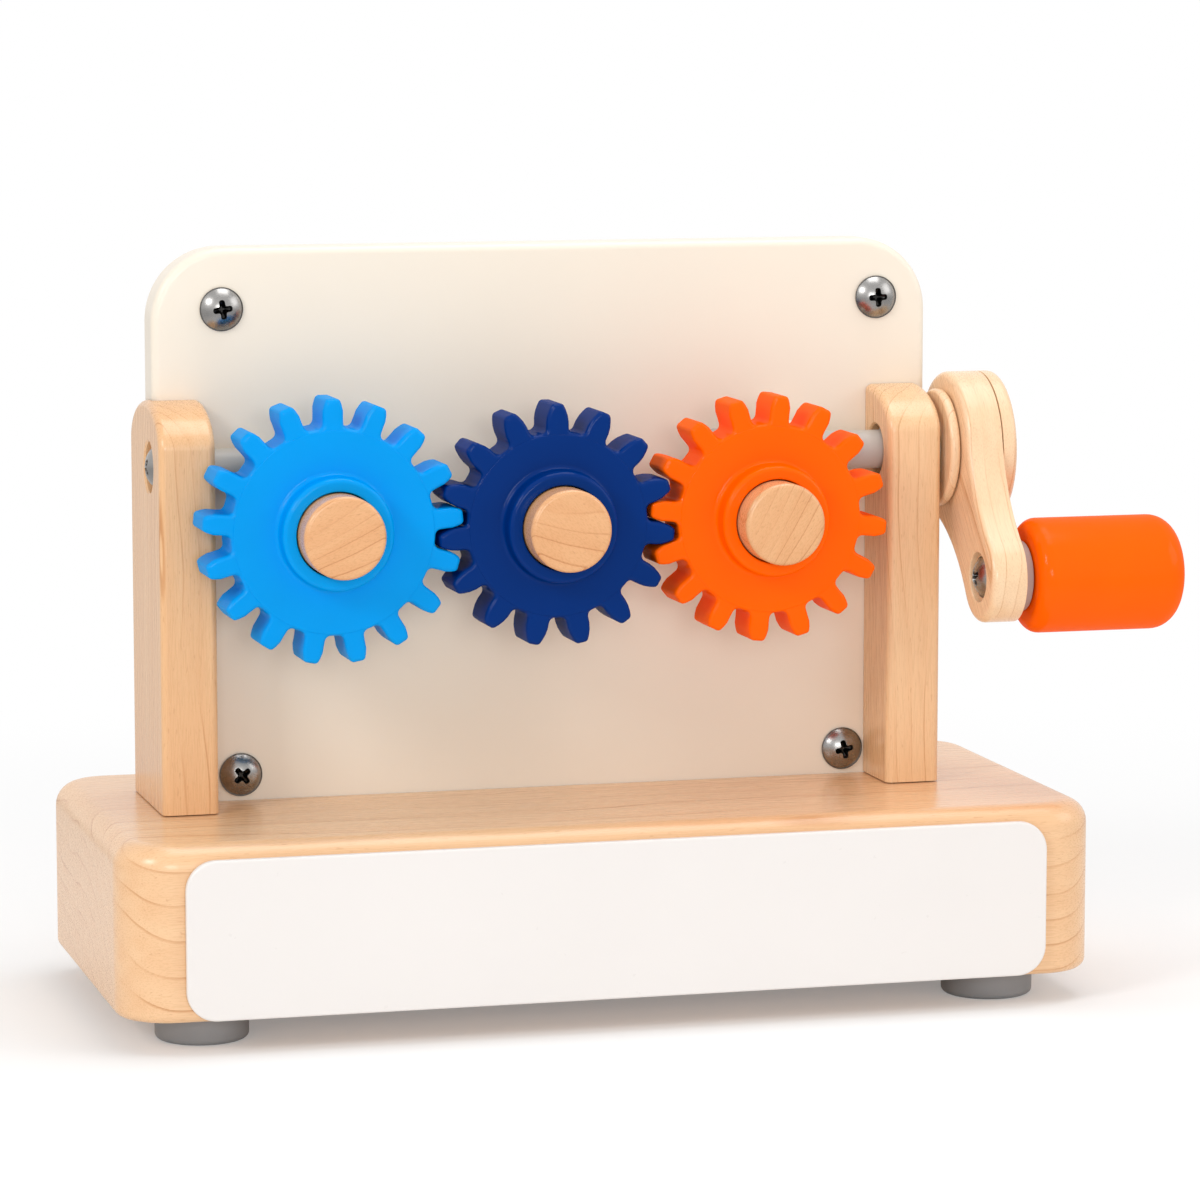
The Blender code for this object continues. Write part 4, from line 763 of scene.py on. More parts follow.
def add_plate():
    outline = rounded_rectangle(
        -PLATE_WIDTH / 2, PLATE_WIDTH / 2, PLATE_BOTTOM, PLATE_TOP, PLATE_CORNER, 14)
    mesh = plate(outline, [], 0.0, PLATE_THICKNESS, PLATE_EDGE, 6, low_edge=0.1)
    piece(
        "plate_front", mesh, plate_white, "front_plate", FRONT, (0.0, -BASE_DEPTH / 2 - GAP, 0.0))


def add_feet():
    recess = PAN_RADIUS + 2 * GAP
    profile = [(PILOT, FOOT_HEIGHT)] + top_edge(FOOT_RADIUS, FOOT_HEIGHT, FOOT_TOP_EDGE, 2)
    profile += bottom_edge(FOOT_RADIUS, 0.0, FOOT_BOTTOM_EDGE, 6)
    profile += [
        (recess + FOOT_BEVEL, 0.0), (recess, FOOT_BEVEL), (recess, FOOT_RECESS),
        (PILOT, FOOT_RECESS)]
    for name, (x, y) in FOOT_PLACES.items():
        mesh = turned(profile, 72, ring=True)
        piece("foot_pad_" + name, mesh, rubber, "foot_" + name, UP, (x, y, 0.0))
        pan_screw(FOOT_SCREW_LENGTH, DOWN, (x, y, FOOT_RECESS - GAP), "foot_screw_" + name)


# Screws

def cross_tool(arm, half_width, surface, depth):
    """A cross-shaped pit with rounded ends, a bevelled mouth and sloping walls."""
    corners = []
    end = half_width * 0.85
    for quarter in range(4):
        turn = Matrix.Rotation(math.radians(90.0 * quarter), 2)
        for x, y, radius in (
                (arm, -half_width, end), (arm, half_width, end),
                (half_width, half_width, half_width / 2)):
            point = turn @ Vector((x, y))
            corners.append((point.x, point.y, radius))
    outline = filleted(corners, 4)
    levels = (
        (surface + 1.0, 1.28), (surface - 0.55, 1.0), (surface - depth * 0.6, 0.86),
        (surface - depth, 0.3))
    return stacked([[(x * share, y * share, z) for x, y in outline] for z, share in levels])


def paint_pit_shade(mesh, radius, surface):
    """Paints shade on a drive's points inside radius, darker the deeper they lie below surface(r).
    """
    pit = mesh.attributes.new(PIT_SHADE, "FLOAT", "POINT")
    for point in mesh.vertices:
        away = math.hypot(point.co.x, point.co.y)
        if away < radius:
            depth = (surface(away) - point.co.z - PIT_SHADE_START) / PIT_SHADE_FADE
            pit.data[point.index].value = min(1.0, max(0.0, depth))


def dome_screw(name, radius, height, shank, length, turn, place, node, body="frame", spin=0.0):
    ball = (radius ** 2 + height ** 2) / (2 * height)
    spread = math.degrees(math.asin(radius / ball))
    profile = [(0.0, height)]
    profile += [(x, z) for z, x in arc(height - ball, 0.0, ball, 0.0, spread * 0.97, 12)][1:]
    profile += [(radius, 0.35), (radius, 0.0), (shank, 0.0), (shank, shank - length)]
    profile.append((0.0, -length))
    cross = cross_tool(arm=radius * 0.44, half_width=radius * 0.13, surface=height, depth=2.4)
    mesh = cut(turned(profile, 64), [cross])
    # Painted shade in the recess of the drive
    paint_pit_shade(mesh, radius * PIT_SHADE_REACH, lambda r: height - ball + math.sqrt(ball ** 2 - r ** 2))
    moved(mesh, 0.0, 0.0, 0.0, Matrix.Rotation(math.radians(spin), 4, "Z"))
    piece(name, mesh, bright_steel, node, turn, place, body, 30.0)


def pan_screw(length, turn, place, node):
    profile = [(0.0, PAN_HEIGHT)] + top_edge(PAN_RADIUS - 0.4, PAN_HEIGHT, 0.7, 3)
    profile += [(PAN_RADIUS, 0.0), (SHANK, 0.0), (SHANK, 2 * SHANK - length), (0.0, -length)]
    cross = cross_tool(arm=1.8, half_width=0.5, surface=PAN_HEIGHT, depth=1.5)
    mesh = cut(turned(profile, 32), [cross])
    # Painted shade in the recess of the drive
    paint_pit_shade(mesh, PAN_RADIUS * PIT_SHADE_REACH, lambda r: PAN_HEIGHT)
    piece(node + "_fixing", mesh, plain_steel, node, turn, place, "frame", 30.0)


def add_frame_screws():
    for node, (x, y) in frame_screw_places().items():
        pan_screw(FRAME_SCREW_LENGTH, DOWN, (x, y, BASE_BOTTOM + FRAME_SCREW_SINK - GAP), node)


# Posts, panel and what stands behind it

def add_post(name, side):
    """One post, with the groove for the panel's tongue and the seat for its shoulder."""
    inner = POST_RIGHT if side > 0 else POST_LEFT
    outer = inner + side * POST_WIDTH
    low, high = sorted((inner, outer))
    middle = (POST_FRONT + POST_BACK) / 2
    half = (POST_BACK - POST_FRONT) / 2
    below = POST_BOTTOM - SPARE
    above = POST_TOP + SPARE
    outline = [(POST_FRONT, below), (POST_BACK, below)]
    for x, y in arc(0.0, 0.0, 1.0, 0.0, 180.0, 48):
        outline.append((middle + half * x, POST_TOP - POST_ARCH_RISE * (1.0 - y)))
    mesh = plate(outline, [], low, high, POST_EDGE, 6)
    mesh.transform(SIDE)
    front = PANEL_FRONT - GAP
    back = PANEL_BACK + GAP
    tongue = sorted((inner - side * SPARE, inner + side * (TONGUE + GAP)))
    shoulder = PANEL_RIGHT + GAP if side > 0 else PANEL_LEFT - GAP
    seat = sorted((inner - side * SPARE, shoulder))
    tools = [
        block((low - SPARE, POST_FRONT - SPARE, below - SPARE),
              (high + SPARE, POST_BACK + SPARE, POST_BOTTOM)),
        block((tongue[0], front, below - SPARE), (tongue[1], back, above)),
        block((seat[0], front, SEAT), (seat[1], back, above))]
    tools += pilots(below, PILOT_TOP, "post_screw_" + name)
    if side > 0:
        for x, turn in ((outer, RIGHT), (inner, LEFT)):
            bore = BUSH_RADIUS + GAP
            tools.append(bore_tool(bore, 0.0, bore, x, SHAFT_Y, turn))
    else:
        sink = STUB_HEAD_X + GAP - outer
        tools.append(bore_tool(STUB_RADIUS + GAP, sink, STUB_RECESS, outer, STUB_Y, LEFT))
    grain = (0.0, 0.04 * side, 1.0)
    # The tint paints shade on the left post and light on the right one
    finish = maple(
        "post_maple_" + name, grain, ((low + high) / 2, middle, 100.0), (40.0, 75.0 * side), 3.7,
        0.9, POST_LIGHT_AND_SHADE_TINT[name])
    piece("post_" + name, cut(mesh, tools), finish, name + "_post")


def bore_tool(radius, sink, sink_radius, x, y, turn):
    """A bore from a post's face inwards, with a bevelled mouth and a flat-bottomed recess."""
    mouth = sink_radius + POST_BORE_BEVEL
    floor = -max(sink, 2 * POST_BORE_BEVEL)
    end = -POST_WIDTH - POST_BORE_BEVEL
    profile = [
        (0.0, SPARE), (mouth, SPARE), (mouth, 0.0), (sink_radius, -POST_BORE_BEVEL),
        (sink_radius, floor), (radius, floor), (radius, end), (0.0, end)]
    return moved(turned(profile, 64), x, y, SHAFT_Z, turn)


def add_panel():
    bottom = BASE_TOP - TONGUE
    centre = PANEL_TOP - PANEL_CORNER
    outline = [(PANEL_LEFT, bottom - PANEL_SPARE), (PANEL_RIGHT, bottom - PANEL_SPARE)]
    outline += arc(PANEL_RIGHT - PANEL_CORNER, centre, PANEL_CORNER, 0.0, 90.0, 20)
    outline += arc(PANEL_LEFT + PANEL_CORNER, centre, PANEL_CORNER, 90.0, 180.0, 20)
    mesh = plate(outline, [], -PANEL_BACK, -PANEL_FRONT, PANEL_EDGE, 7)
    mesh.transform(FRONT)
    shoulder = SEAT + GAP
    front = PANEL_FRONT - SPARE
    back = PANEL_BACK + SPARE
    low = bottom - 4 * SPARE
    left = PANEL_LEFT - SPARE
    right = PANEL_RIGHT + SPARE
    tools = [
        block((left, front, low), (right, back, bottom)),
        block((left, front, low), (POST_LEFT - TONGUE, back, shoulder)),
        block((POST_RIGHT + TONGUE, front, low), (right, back, shoulder))]
    for x, z, _ in PANEL_SCREWS.values():
        tools.append(rod(PANEL_SHANK + GAP, (x, front, z), (x, back, z), 16))
    for x in GEAR_X.values():
        tools.append(rod(PEG_TENON + GAP, (x, front, GEAR_Z), (x, back, GEAR_Z)))
    piece("panel_board", cut(mesh, tools), cream, "back_panel")
    for name, (x, z, spin) in PANEL_SCREWS.items():
        dome_screw(
            "panel_fixing_" + name, DOME_RADIUS, DOME_HEIGHT, PANEL_SHANK, PANEL_SCREW_LENGTH,
            FRONT, (x, PANEL_FRONT - GAP, z), "panel_screw_" + name, spin=spin)


def add_back_frame():
    for name, edge, side in (("left", POST_LEFT, 1), ("right", POST_RIGHT, -1)):
        outer = edge + side * GAP
        inner = outer + side * UPRIGHT_WIDTH
        shoulder = outer - side * UPRIGHT_SHOULDER
        notch = POST_TOP + GAP
        corners = [
            (outer, POST_BOTTOM, 0.0), (inner, POST_BOTTOM, 0.0),
            (inner, UPRIGHT_TOP, UPRIGHT_CORNER), (shoulder, UPRIGHT_TOP, UPRIGHT_CORNER),
            (shoulder, notch, NOTCH_CORNER), (outer, notch, 0.0)]
        outline = filleted(corners, 6)
        mesh = plate(outline, [], -UPRIGHT_BACK, -UPRIGHT_FRONT, UPRIGHT_EDGE)
        mesh.transform(FRONT)
        tools = pilots(POST_BOTTOM - SPARE, PILOT_TOP, "upright_screw_" + name)
        for x, z, _ in PANEL_SCREWS.values():
            if x * side < 0.0:
                start = (x, PANEL_FRONT, z)
                tools.append(rod(PANEL_SHANK + GAP, start, (x, PANEL_HOLE_END, z), 16))
        middle = ((inner + outer) / 2, UPRIGHT_BACK, 110.0)
        finish = maple("upright_maple_" + name, (0.0, 0.0, 1.0), middle, (40.0, 46.0 * side), 5.0)
        piece("upright_board_" + name, cut(mesh, tools), finish, "rear_upright_" + name)
    left = POST_LEFT + UPRIGHT_WIDTH + 2 * GAP
    right = POST_RIGHT - UPRIGHT_WIDTH - 2 * GAP
    outline = rounded_rectangle(
        left, right, GEAR_Z - RAIL_HALF_HEIGHT, GEAR_Z + RAIL_HALF_HEIGHT, 0.8, 3)
    holes = [circle(x, GEAR_Z, PEG_TENON + GAP, 32) for x in GEAR_X.values()]
    mesh = plate(outline, holes, -UPRIGHT_BACK, -UPRIGHT_FRONT, RAIL_EDGE, hole_edge=FINE_EDGE)
    finish = maple("rail_maple", (1.0, 0.0, 0.0), (0.0, UPRIGHT_BACK, GEAR_Z), (-60.0, 40.0), 5.0)
    piece("rail_board", mesh, finish, "axle_rail", FRONT)


# Axles and gears

def add_axle(name, tilt):
    """Peg, washer and screw; tilt leans the grain of the peg, so that no two faces are alike."""
    x = GEAR_X[name]
    face = PANEL_FRONT - GAP
    front = face - PEG_FRONT
    shoulder = face - PEG_SHOULDER
    tenon = face - UPRIGHT_BACK
    pilot_end = tenon + AXLE_SCREW_LENGTH
    profile = [(0.0, front)] + top_edge(PEG_RADIUS, front, PEG_EDGE, 7)
    profile += [
        (PEG_RADIUS, shoulder), (PEG_STEM, shoulder), (PEG_STEM, 0.0), (PEG_TENON, 0.0),
        (PEG_TENON, tenon), (PILOT, tenon), (PILOT, pilot_end), (0.0, pilot_end)]
    lean = math.radians(tilt)
    grain = (math.cos(lean), 0.35, math.sin(lean))
    finish = maple(
        "peg_maple_" + name, grain, (x, PEG_FRONT, GEAR_Z), (22.0 - tilt / 4, 26.0), 3.4, 1.0,
        PEG_TINT)
    piece("peg_" + name, turned(profile, 72), finish, "axle_peg_" + name, FRONT, (x, face, GEAR_Z))
    back = UPRIGHT_BACK + GAP
    mesh = washer(AXLE_WASHER_RADIUS, PILOT, AXLE_WASHER_THICKNESS, 0.25)
    piece("peg_washer_" + name, mesh, plain_steel, "axle_washer_" + name, BACK, (x, back, GEAR_Z))
    back += AXLE_WASHER_THICKNESS + GAP
    pan_screw(AXLE_SCREW_LENGTH, BACK, (x, back, GEAR_Z), "axle_screw_" + name)


def add_spacer(name, front):
    face = PANEL_FRONT - GAP
    mesh = washer(SPACER_RADIUS, PEG_STEM + GAP, face - front, 0.5)
    place = (GEAR_X[name], face, GEAR_Z)
    piece("spacer_ring_" + name, mesh, nylon, "spacer_" + name, FRONT, place)


def involute(angle):
    return math.tan(angle) - angle


def toothed(flank, count, phase):
    """The corners of count teeth; flank holds (radius, half the tooth's angle, rounding)."""
    corners = []
    for tooth in range(count):
        middle = phase + math.tau * tooth / count
        for way, points in ((-1, flank), (1, flank[::-1])):
            for radius, spread, rounding in points:
                angle = middle + way * spread
                corners.append((radius * math.cos(angle), radius * math.sin(angle), rounding))
    return corners


def tooth_outline(teeth, module, pressure, shifted, root, play, phase, tip_round, root_round):
    """Involute teeth with round tips and roots, and the radius of their roots."""
    pitch = module * teeth / 2
    base = pitch * math.cos(pressure)
    tip = pitch + module * (shifted + TOOTH_TOP)
    foot = pitch + module * (shifted - root)

    def half_angle(radius):
        lean = math.acos(min(1.0, base / radius))
        width = (math.pi / 2 + 2 * shifted * math.tan(pressure)) / teeth - play / 4 / pitch
        return width + involute(pressure) - involute(lean)

    flank = [(foot, half_angle(foot + module * 0.3) + 0.012, root_round)]
    for share in (0.38, 0.60, 0.80):
        radius = foot + (tip - foot) * share
        flank.append((radius, half_angle(radius), 0.0))
    flank.append((tip, half_angle(tip), tip_round))
    return filleted(toothed(flank, teeth, math.radians(phase)), 5), foot


def gear_phases():
    """The teeth of two neighbours meet tooth to gap on the line between their axles."""
    pitch = {name: 360.0 / teeth for name, teeth in GEAR_TEETH.items()}
    middle = 180.0 - (90.0 / pitch["left"] - 0.5) * pitch["middle"]
    right = 180.0 - (middle / pitch["middle"] - 0.5) * pitch["right"]
    return {"left": 90.0, "middle": middle, "right": right}


def add_gear(name, finish):
    outline, root = tooth_outline(
        GEAR_TEETH[name], GEAR_MODULE, GEAR_PRESSURE, GEAR_SHIFT[name], TOOTH_ROOT, BACKLASH,
        gear_phases()[name], GEAR_TIP_ROUND, GEAR_ROOT_ROUND)
    hole = circle(0.0, 0.0, GEAR_HOLE)
    teeth = plate(outline, [hole], -GEAR_THICKNESS, 0.0, GEAR_EDGE, hole_edge=0.1)
    step = 0.16
    sink = 0.6
    web = root - 0.55
    fillet = 1.3
    rim = 0.4
    back = -GEAR_THICKNESS - HUB_PROUD
    bore = PEG_STEM + GAP
    pocket = PEG_RADIUS + GAP
    floor = GEAR_FRONT - PEG_SHOULDER - GAP
    under = COLLAR_RADIUS - rim
    hub = top_edge(COLLAR_RADIUS, COLLAR_HEIGHT, fillet, 6)
    hub += arc(COLLAR_RADIUS + fillet, fillet + step, fillet, 180.0, 270.0, 5)
    hub += top_edge(web, step, step, 3) + [(web, -sink), (under, -sink), (under, back)]
    hub += [(bore, back), (bore, floor), (pocket, floor)]
    hub += arc(pocket + rim, COLLAR_HEIGHT - rim, rim, 180.0, 90.0, 3)
    boss = turned(hub, 96, ring=True)
    if name == "right":
        drive = circle(0.0, 0.0, DRIVE_RADIUS + GAP, 6)
        end = back + DRIVE_DEPTH + GAP
        boss = cut(boss, [plate(drive, [], back - SPARE, end, 0.01, 1)])
    piece(
        "toothed_" + name, merged([teeth, boss]), finish, "gear_" + name, FRONT,
        (GEAR_X[name], GEAR_FRONT, GEAR_Z), name + "_gear", 42.0)


def add_worm_wheel():
    outline, _ = tooth_outline(
        WHEEL_TEETH, WORM_MODULE, WORM_PRESSURE, 0.0, WORM_ROOT, WORM_BACKLASH, 90.0, 0.25, 0.35)
    twist = WHEEL_WIDTH * WORM_STARTS / WORM_RADIUS / WHEEL_TEETH
    wheel = twisted(outline, WHEEL_WIDTH, twist, 8)
    front = SHAFT_Y - HUB_BACK
    hub = rod(WHEEL_HUB, MIDDLE, (0.0, 0.0, front - GAP), 48)
    corners = [(x, y, 0.6) for x, y in circle(0.0, 0.0, DRIVE_RADIUS, 6)]
    drive = plate(filleted(corners, 3), [], front - 2 * GAP, front + DRIVE_DEPTH, 0.3, 2)
    bore = rod(PEG_STEM + GAP, (0.0, 0.0, -front), (0.0, 0.0, 2 * front), 48)
    mesh = merged([cut(part, [bore]) for part in (wheel, hub, drive)])
    piece(
        "worm_driven", mesh, nylon, "worm_wheel", FRONT, (GEAR_X["right"], SHAFT_Y, GEAR_Z),
        "right_gear", 35.0)


# Shaft, its bearings and the pin in the left post

def add_shaft():
    right = BOSS_X - GAP
    end = ARM_X + ARM_THICKNESS - ARM_SCREW_SINK - GAP
    worm = GEAR_X["right"]
    half_length = WORM_LENGTH / 2
    root = WORM_RADIUS - WORM_ROOT * WORM_MODULE
    neck = root - GAP
    rod_profile = [(0.0, right)] + top_edge(SHAFT_RADIUS, right, 0.4, 2)
    rod_profile += [
        (SHAFT_RADIUS, worm + half_length + WORM_NECK), (neck, worm + half_length - GAP),
        (neck, worm - half_length + GAP), (0.0, worm - half_length + GAP)]
    per_length = 2 / (WORM_MODULE * WORM_STARTS)
    flank = []
    for radius in (root, WORM_RADIUS, WORM_RADIUS + TOOTH_TOP * WORM_MODULE):
        width = math.pi * WORM_MODULE / 4 - WORM_BACKLASH / 4
        width -= (radius - WORM_RADIUS) * math.tan(WORM_PRESSURE)
        flank.append((radius, width * per_length, 0.2))
    outline = filleted(toothed(flank, WORM_STARTS, math.pi / WORM_STARTS), 2)
    thread = twisted(outline, WORM_LENGTH, WORM_LENGTH * per_length, 48)
    moved(thread, 0.0, 0.0, worm)
    half = SHAFT_HALF_SQUARE
    corners = [(x, y, 0.5) for x, y in ((-half, -half), (half, -half), (half, half), (-half, half))]
    square = plate(filleted(corners, 3), [], right - BOSS_THICKNESS, end, 0.2, 2)
    start = end - FOOT_SCREW_LENGTH - GAP
    pilot = rod(PILOT, (0.0, 0.0, start), (0.0, 0.0, end + SPARE), 16)
    mesh = merged([turned(rod_profile, 64), thread, cut(square, [pilot])])
    piece(
        "shaft_rod", mesh, shaft_grey, "drive_shaft", RIGHT, (0.0, SHAFT_Y, SHAFT_Z), "crank",
        35.0)


def add_bearings():
    bore = SHAFT_RADIUS + GAP
    profile = top_edge(BUSH_FLANGE_RADIUS, BUSH_FLANGE, FINE_EDGE, 3)
    profile += [
        (BUSH_FLANGE_RADIUS, 0.0), (BUSH_RADIUS, 0.0), (BUSH_RADIUS, -BUSH_LENGTH),
        (bore, -BUSH_LENGTH)]
    profile += arc(bore + FINE_EDGE, BUSH_FLANGE - FINE_EDGE, FINE_EDGE, 180.0, 90.0, 3)
    piece(
        "bush", turned(profile, 64, ring=True), nylon, "shaft_bush", RIGHT,
        (BUSH_X, SHAFT_Y, SHAFT_Z))
    half_height = bore + BRACKET_WALL
    outline = rounded_rectangle(
        SHAFT_Y - half_height, PANEL_FRONT - GAP, SHAFT_Z - half_height, SHAFT_Z + half_height,
        BRACKET_CORNER, 4)
    hole = circle(SHAFT_Y, SHAFT_Z, bore)
    mesh = plate(outline, [hole], 0.0, BRACKET_WIDTH, BRACKET_EDGE, hole_edge=FINE_EDGE)
    piece("bracket", mesh, cream, "shaft_bracket", SIDE, (BRACKET_LEFT, 0.0, 0.0))


def add_stub():
    pilot_end = FOOT_SCREW_LENGTH + GAP
    profile = [(0.0, STUB_LENGTH)] + top_edge(STUB_RADIUS, STUB_LENGTH, 0.5, 3)
    profile += [(STUB_RADIUS, 0.0), (PILOT, 0.0), (PILOT, pilot_end), (0.0, pilot_end)]
    piece(
        "stub_pin", turned(profile, 48), shaft_grey, "stub_shaft", RIGHT,
        (STUB_HEAD_X + GAP, STUB_Y, SHAFT_Z))
    dome_screw(
        "stub_fixing", DOME_RADIUS, DOME_HEIGHT, SHANK, FOOT_SCREW_LENGTH, LEFT,
        (STUB_HEAD_X, STUB_Y, SHAFT_Z), "stub_screw", spin=50.0)


# Crank and handle

def arm_loop():
    """Hub and end circles joined by hollow sides, hanging down and towards the front."""
    hub = HUB_RADIUS + WAIST_RADIUS
    end = END_RADIUS + WAIST_RADIUS
    along = (ARM_LENGTH ** 2 + hub ** 2 - end ** 2) / (2 * ARM_LENGTH)
    across = math.sqrt(hub ** 2 - along ** 2)
    hub_angle = math.degrees(math.atan2(across, along))
    end_angle = math.degrees(math.atan2(across, along - ARM_LENGTH))
    points = arc(0.0, 0.0, HUB_RADIUS, hub_angle, 360.0 - hub_angle, 56)
    points += arc(along, -across, WAIST_RADIUS, 180.0 - hub_angle, 180.0 - end_angle, 10)[1:-1]
    points += arc(ARM_LENGTH, 0.0, END_RADIUS, -end_angle, end_angle, 36)
    points += arc(along, across, WAIST_RADIUS, 180.0 + end_angle, 180.0 + hub_angle, 10)[1:-1]
    turn = Matrix.Rotation(math.radians(-90.0) - ARM_ANGLE, 2)
    return [tuple(turn @ Vector(point)) for point in points]


def square_hole(low, high):
    half = SHAFT_HALF_SQUARE + GAP
    return block((-half, -half, low), (half, half, high))


def add_crank():
    outline = circle(0.0, 0.0, BOSS_RADIUS, 72)
    boss = plate(outline, [], 0.0, BOSS_THICKNESS, BOSS_EDGE, 6)
    boss = cut(boss, [square_hole(-BOSS_THICKNESS, 2 * BOSS_THICKNESS)])
    place = (BOSS_X, SHAFT_Y, SHAFT_Z)
    finish = maple("boss_maple", (0.0, 0.0, 1.0), place, (50.0, 30.0), 4.0, 0.6, CRANK_TINT)
    piece("crank_disc", boss, finish, "crank_boss", SIDE, place, "crank")
    arm = plate(arm_loop(), [], 0.0, ARM_THICKNESS, ARM_OUTER_EDGE, 5, ARM_INNER_EDGE)
    recess = BOLT_HEAD_RADIUS + 1.0
    floor = BOLT_SINK + GAP
    bore = BOLT_RADIUS + GAP
    mouth = recess + 0.5
    end = ARM_THICKNESS + ARM_SPARE
    sink = [
        (0.0, -ARM_SPARE), (mouth, -ARM_SPARE), (mouth, 0.0), (recess + 0.15, 0.15),
        (recess, 0.5), (recess, floor), (bore, floor), (bore, end), (0.0, end)]
    sink = moved(turned(sink, 64), HANDLE_Y - SHAFT_Y, HANDLE_Z - SHAFT_Z, 0.0)
    start = (0.0, 0.0, ARM_THICKNESS - ARM_SCREW_SINK)
    head = rod(DOME_RADIUS + GAP, start, (0.0, 0.0, end))
    grain = (0.0, -math.sin(ARM_ANGLE), -math.cos(ARM_ANGLE))
    place = (ARM_X, SHAFT_Y, SHAFT_Z)
    finish = maple("arm_maple", grain, place, (44.0, 60.0), 4.4, 0.8, CRANK_TINT)
    hole = square_hole(-ARM_SPARE, end)
    arm = cut(arm, [sink, hole, head])
    piece("crank_lever", arm, finish, "crank_arm", SIDE, place, "crank")
    cap = [(0.0, CAP_THICKNESS)] + top_edge(HUB_RADIUS, CAP_THICKNESS, CAP_EDGE, 7)
    cap += bottom_edge(HUB_RADIUS, 0.0, ARM_OUTER_EDGE, 3) + [(0.0, 0.0)]
    piece(
        "crank_cover", turned(cap, 96), finish, "crank_cap", RIGHT, (CAP_X, SHAFT_Y, SHAFT_Z),
        "crank")


def add_handle():
    dome_screw(
        "handle_pin", BOLT_HEAD_RADIUS, BOLT_HEAD_HEIGHT, BOLT_RADIUS, BOLT_LENGTH, LEFT,
        (ARM_X + BOLT_SINK, HANDLE_Y, HANDLE_Z), "handle_bolt", "crank", 30.0)
    mesh = washer(WASHER_RADIUS, BOLT_RADIUS + GAP, WASHER_THICKNESS, 0.4, 64)
    place = (CAP_X, HANDLE_Y, HANDLE_Z)
    piece("handle_ring", mesh, washer_grey, "handle_washer", RIGHT, place, "crank")
    bore = SLEEVE_RADIUS + GAP
    profile = top_edge(GRIP_RADIUS, GRIP_LENGTH, GRIP_OUTER_EDGE, 12)
    profile += bottom_edge(GRIP_RADIUS, 0.0, GRIP_INNER_EDGE, 8)
    profile += [(bore, 0.0), (bore, POCKET_FLOOR), (POCKET_RADIUS, POCKET_FLOOR)]
    profile += [
        (POCKET_RADIUS, GRIP_LENGTH - POCKET_BEVEL), (POCKET_RADIUS + POCKET_BEVEL, GRIP_LENGTH)]
    piece(
        "grip_body", turned(profile, 96, ring=True), orange, "handle_grip", RIGHT,
        (GRIP_X, HANDLE_Y, HANDLE_Z), "grip")
    radius = POCKET_RADIUS - GAP
    plug = [(0.0, PLUG_THICKNESS)] + top_edge(radius, PLUG_THICKNESS, 0.5, 4)
    plug += [(radius, 0.0), (0.0, 0.0)]
    piece(
        "grip_stopper", turned(plug, 64), orange, "grip_plug", RIGHT,
        (GRIP_X + GRIP_LENGTH - PLUG_THICKNESS - GAP, HANDLE_Y, HANDLE_Z), "grip")


# The whole model

cream = lacquer("cream_lacquer", (0.875, 0.785, 0.660))
plate_white = lacquer("plate_white", (0.805, 0.765, 0.735), 0.30)
rubber = moulded("grey_rubber", (0.30, 0.305, 0.315), 0.55, 0.6, 0.00005, 0.08)
light_blue = moulded("light_blue_plastic", (0.0, 0.308, 0.790), gloss=0.0, coat=0.20)
navy = moulded("navy_plastic", (0.0, 0.027, 0.175), gloss=0.0, coat=0.20)
orange = moulded("orange_plastic", (1.0, 0.120, 0.0), gloss=0.0, coat=0.18)
nylon = moulded("nylon", (0.62, 0.60, 0.56), 0.42, 0.5, 0.00003)
shaft_grey = moulded("shaft_grey", (0.52, 0.50, 0.46), 0.30, 0.4, 0.00002)
washer_grey = moulded("washer_grey", (0.42, 0.35, 0.32), 0.45, 0.5, 0.00003)
bright_steel = steel("polished_steel_fine")
plain_steel = steel("plain_steel_fine", (0.30, 0.295, 0.29), 0.3)

add_base()
add_plate()
add_feet()
add_frame_screws()
add_post("left", -1)
add_post("right", 1)
add_panel()
add_back_frame()
for peg_name, tilt in (("left", 12.0), ("middle", -38.0), ("right", 55.0)):
    add_axle(peg_name, tilt)
add_spacer("left", HUB_BACK + GAP)
add_spacer("middle", HUB_BACK + GAP)
add_spacer("right", SHAFT_Y + WHEEL_WIDTH / 2 + GAP)
add_gear("left", light_blue)
add_gear("middle", navy)
add_gear("right", orange)
add_worm_wheel()
add_shaft()
add_bearings()
add_stub()
add_crank()
add_handle()

# Nodes inside the crank and the grip, which stay in the scene and take the same steel
for hidden in ("crank_screw", "handle_sleeve", "handle_retainer", "handle_nut"):
    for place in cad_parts[hidden].material_slots:
        place.material = plain_steel[0]


# Floor, light and camera

# The world's light, how bright world and floor look in reflections, the least share of white
# in the floor's shadow, and the point in metres that all lamps face
AMBIENT = 0.55
MIRRORED_SKY = 1.0
MIRRORED_FLOOR = 0.7
SHADOW_LIFT = 0.22
LIT_POINT = Vector((0.0, 0.0, 0.09))


def ray_kinds(tree):
    """1 for what the camera sees straight, and 1 for what it sees in a reflection."""
    path = add_node(tree, "ShaderNodeLightPath").outputs
    straight = maths(tree, "MAXIMUM", path["Is Camera Ray"], path["Is Transmission Ray"])
    return straight, path["Is Glossy Ray"]


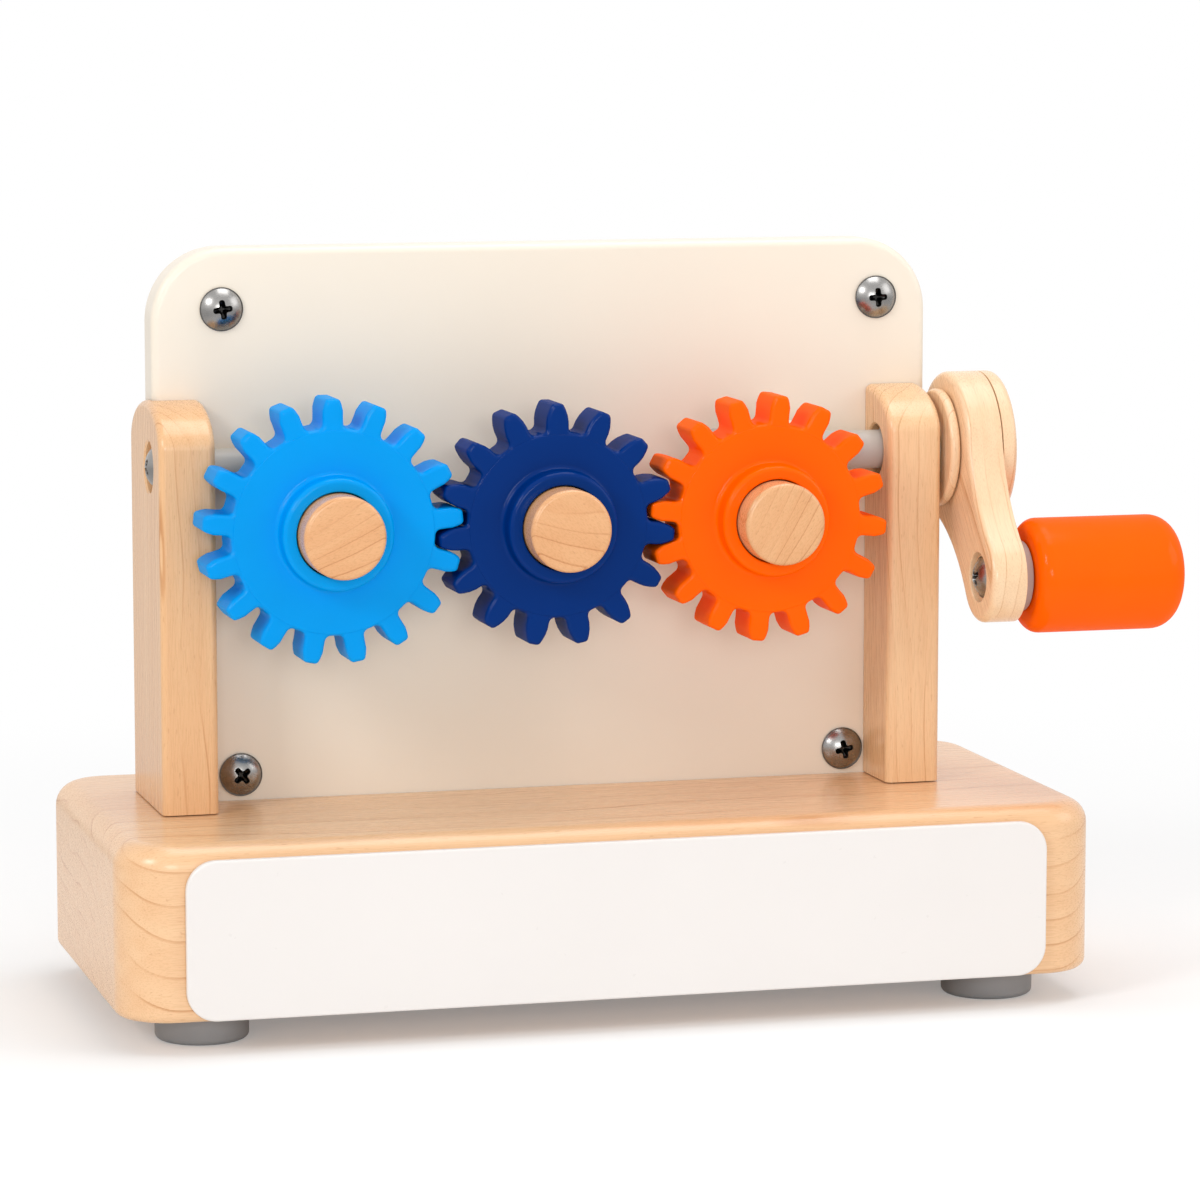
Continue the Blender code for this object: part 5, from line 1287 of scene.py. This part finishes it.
def add_floor():
    shape = bmesh.new()
    bmesh.ops.create_grid(shape, x_segments=1, y_segments=1, size=6.0)
    mesh = as_mesh(shape)
    floor = add_object("floor", mesh)
    finish, tree, shader = new_finish("floor_white")
    feed_all(
        tree, shader, Base_Color=(0.95, 0.95, 0.95, 1.0), Roughness=0.9, Specular_IOR_Level=0.1)
    coords = add_node(tree, "ShaderNodeTexCoord").outputs["Object"]
    distance = add_node(
        tree, "ShaderNodeVectorMath", ((0, coords),), operation="LENGTH").outputs["Value"]
    away = maths(tree, "MAXIMUM", soft_step(tree, distance, 0.13, 0.50), SHADOW_LIFT)
    straight, mirrored = ray_kinds(tree)
    strength = scaled(tree, mirrored, MIRRORED_FLOOR, straight)
    glow = add_node(
        tree, "ShaderNodeEmission", (("Color", (1.0, 1.0, 1.0, 1.0)), ("Strength", strength)))
    share = times(tree, away, maths(tree, "MAXIMUM", straight, mirrored))
    mix = add_node(
        tree, "ShaderNodeMixShader", ((0, share), (1, shader.outputs[0]), (2, glow.outputs[0])))
    tree.links.new(mix.outputs[0], tree.nodes["Material Output"].inputs["Surface"])
    mesh.materials.append(finish)


def add_world():
    world = bpy.data.worlds.new("studio")
    bpy.context.scene.world = world
    world.use_nodes = True
    tree = world.node_tree
    straight, mirrored = ray_kinds(tree)
    strength = scaled(tree, straight, 1.0 - AMBIENT, AMBIENT)
    strength = scaled(tree, mirrored, MIRRORED_SKY - AMBIENT, strength)
    background = tree.nodes["Background"]
    background.inputs["Color"].default_value = (1.0, 1.0, 1.0, 1.0)
    tree.links.new(strength, background.inputs["Strength"])
    world.cycles.sampling_method = "NONE"


def add_light(name, place, size, power):
    lamp = bpy.data.lights.new(name, "AREA")
    lamp.shape = "RECTANGLE"
    lamp.size, lamp.size_y = size
    lamp.energy = power
    thing = add_object(name, lamp)
    thing.location = place
    thing.rotation_euler = (LIT_POINT - Vector(place)).to_track_quat("-Z", "Y").to_euler()


def add_camera():
    lens = bpy.data.cameras.new("camera")
    camera = add_object("camera", lens)
    camera.location = ((-317.0 + ORIGIN_X) * MM, (-1200.0 + ORIGIN_Y) * MM, 263.1 * MM)
    camera.rotation_euler = (math.radians(82.52), 0.0, math.radians(-15.2))
    lens.sensor_width = 36.0
    lens.lens = 147.0
    lens.clip_start = 0.01
    bpy.context.scene.camera = camera


add_floor()
add_world()
add_light("key", (-1.20, -0.80, 0.92), (0.45, 0.45), 7.0)
add_light("front", (-0.25, -1.50, 0.40), (0.6, 0.3), 4.6)
add_light("top", (0.15, 0.00, 1.1), (0.8, 0.6), 4.5)
add_light("fill", (1.10, -0.50, 0.70), (0.7, 0.7), 2.8)
add_camera()
bpy.context.scene.view_settings.view_transform = "Standard"
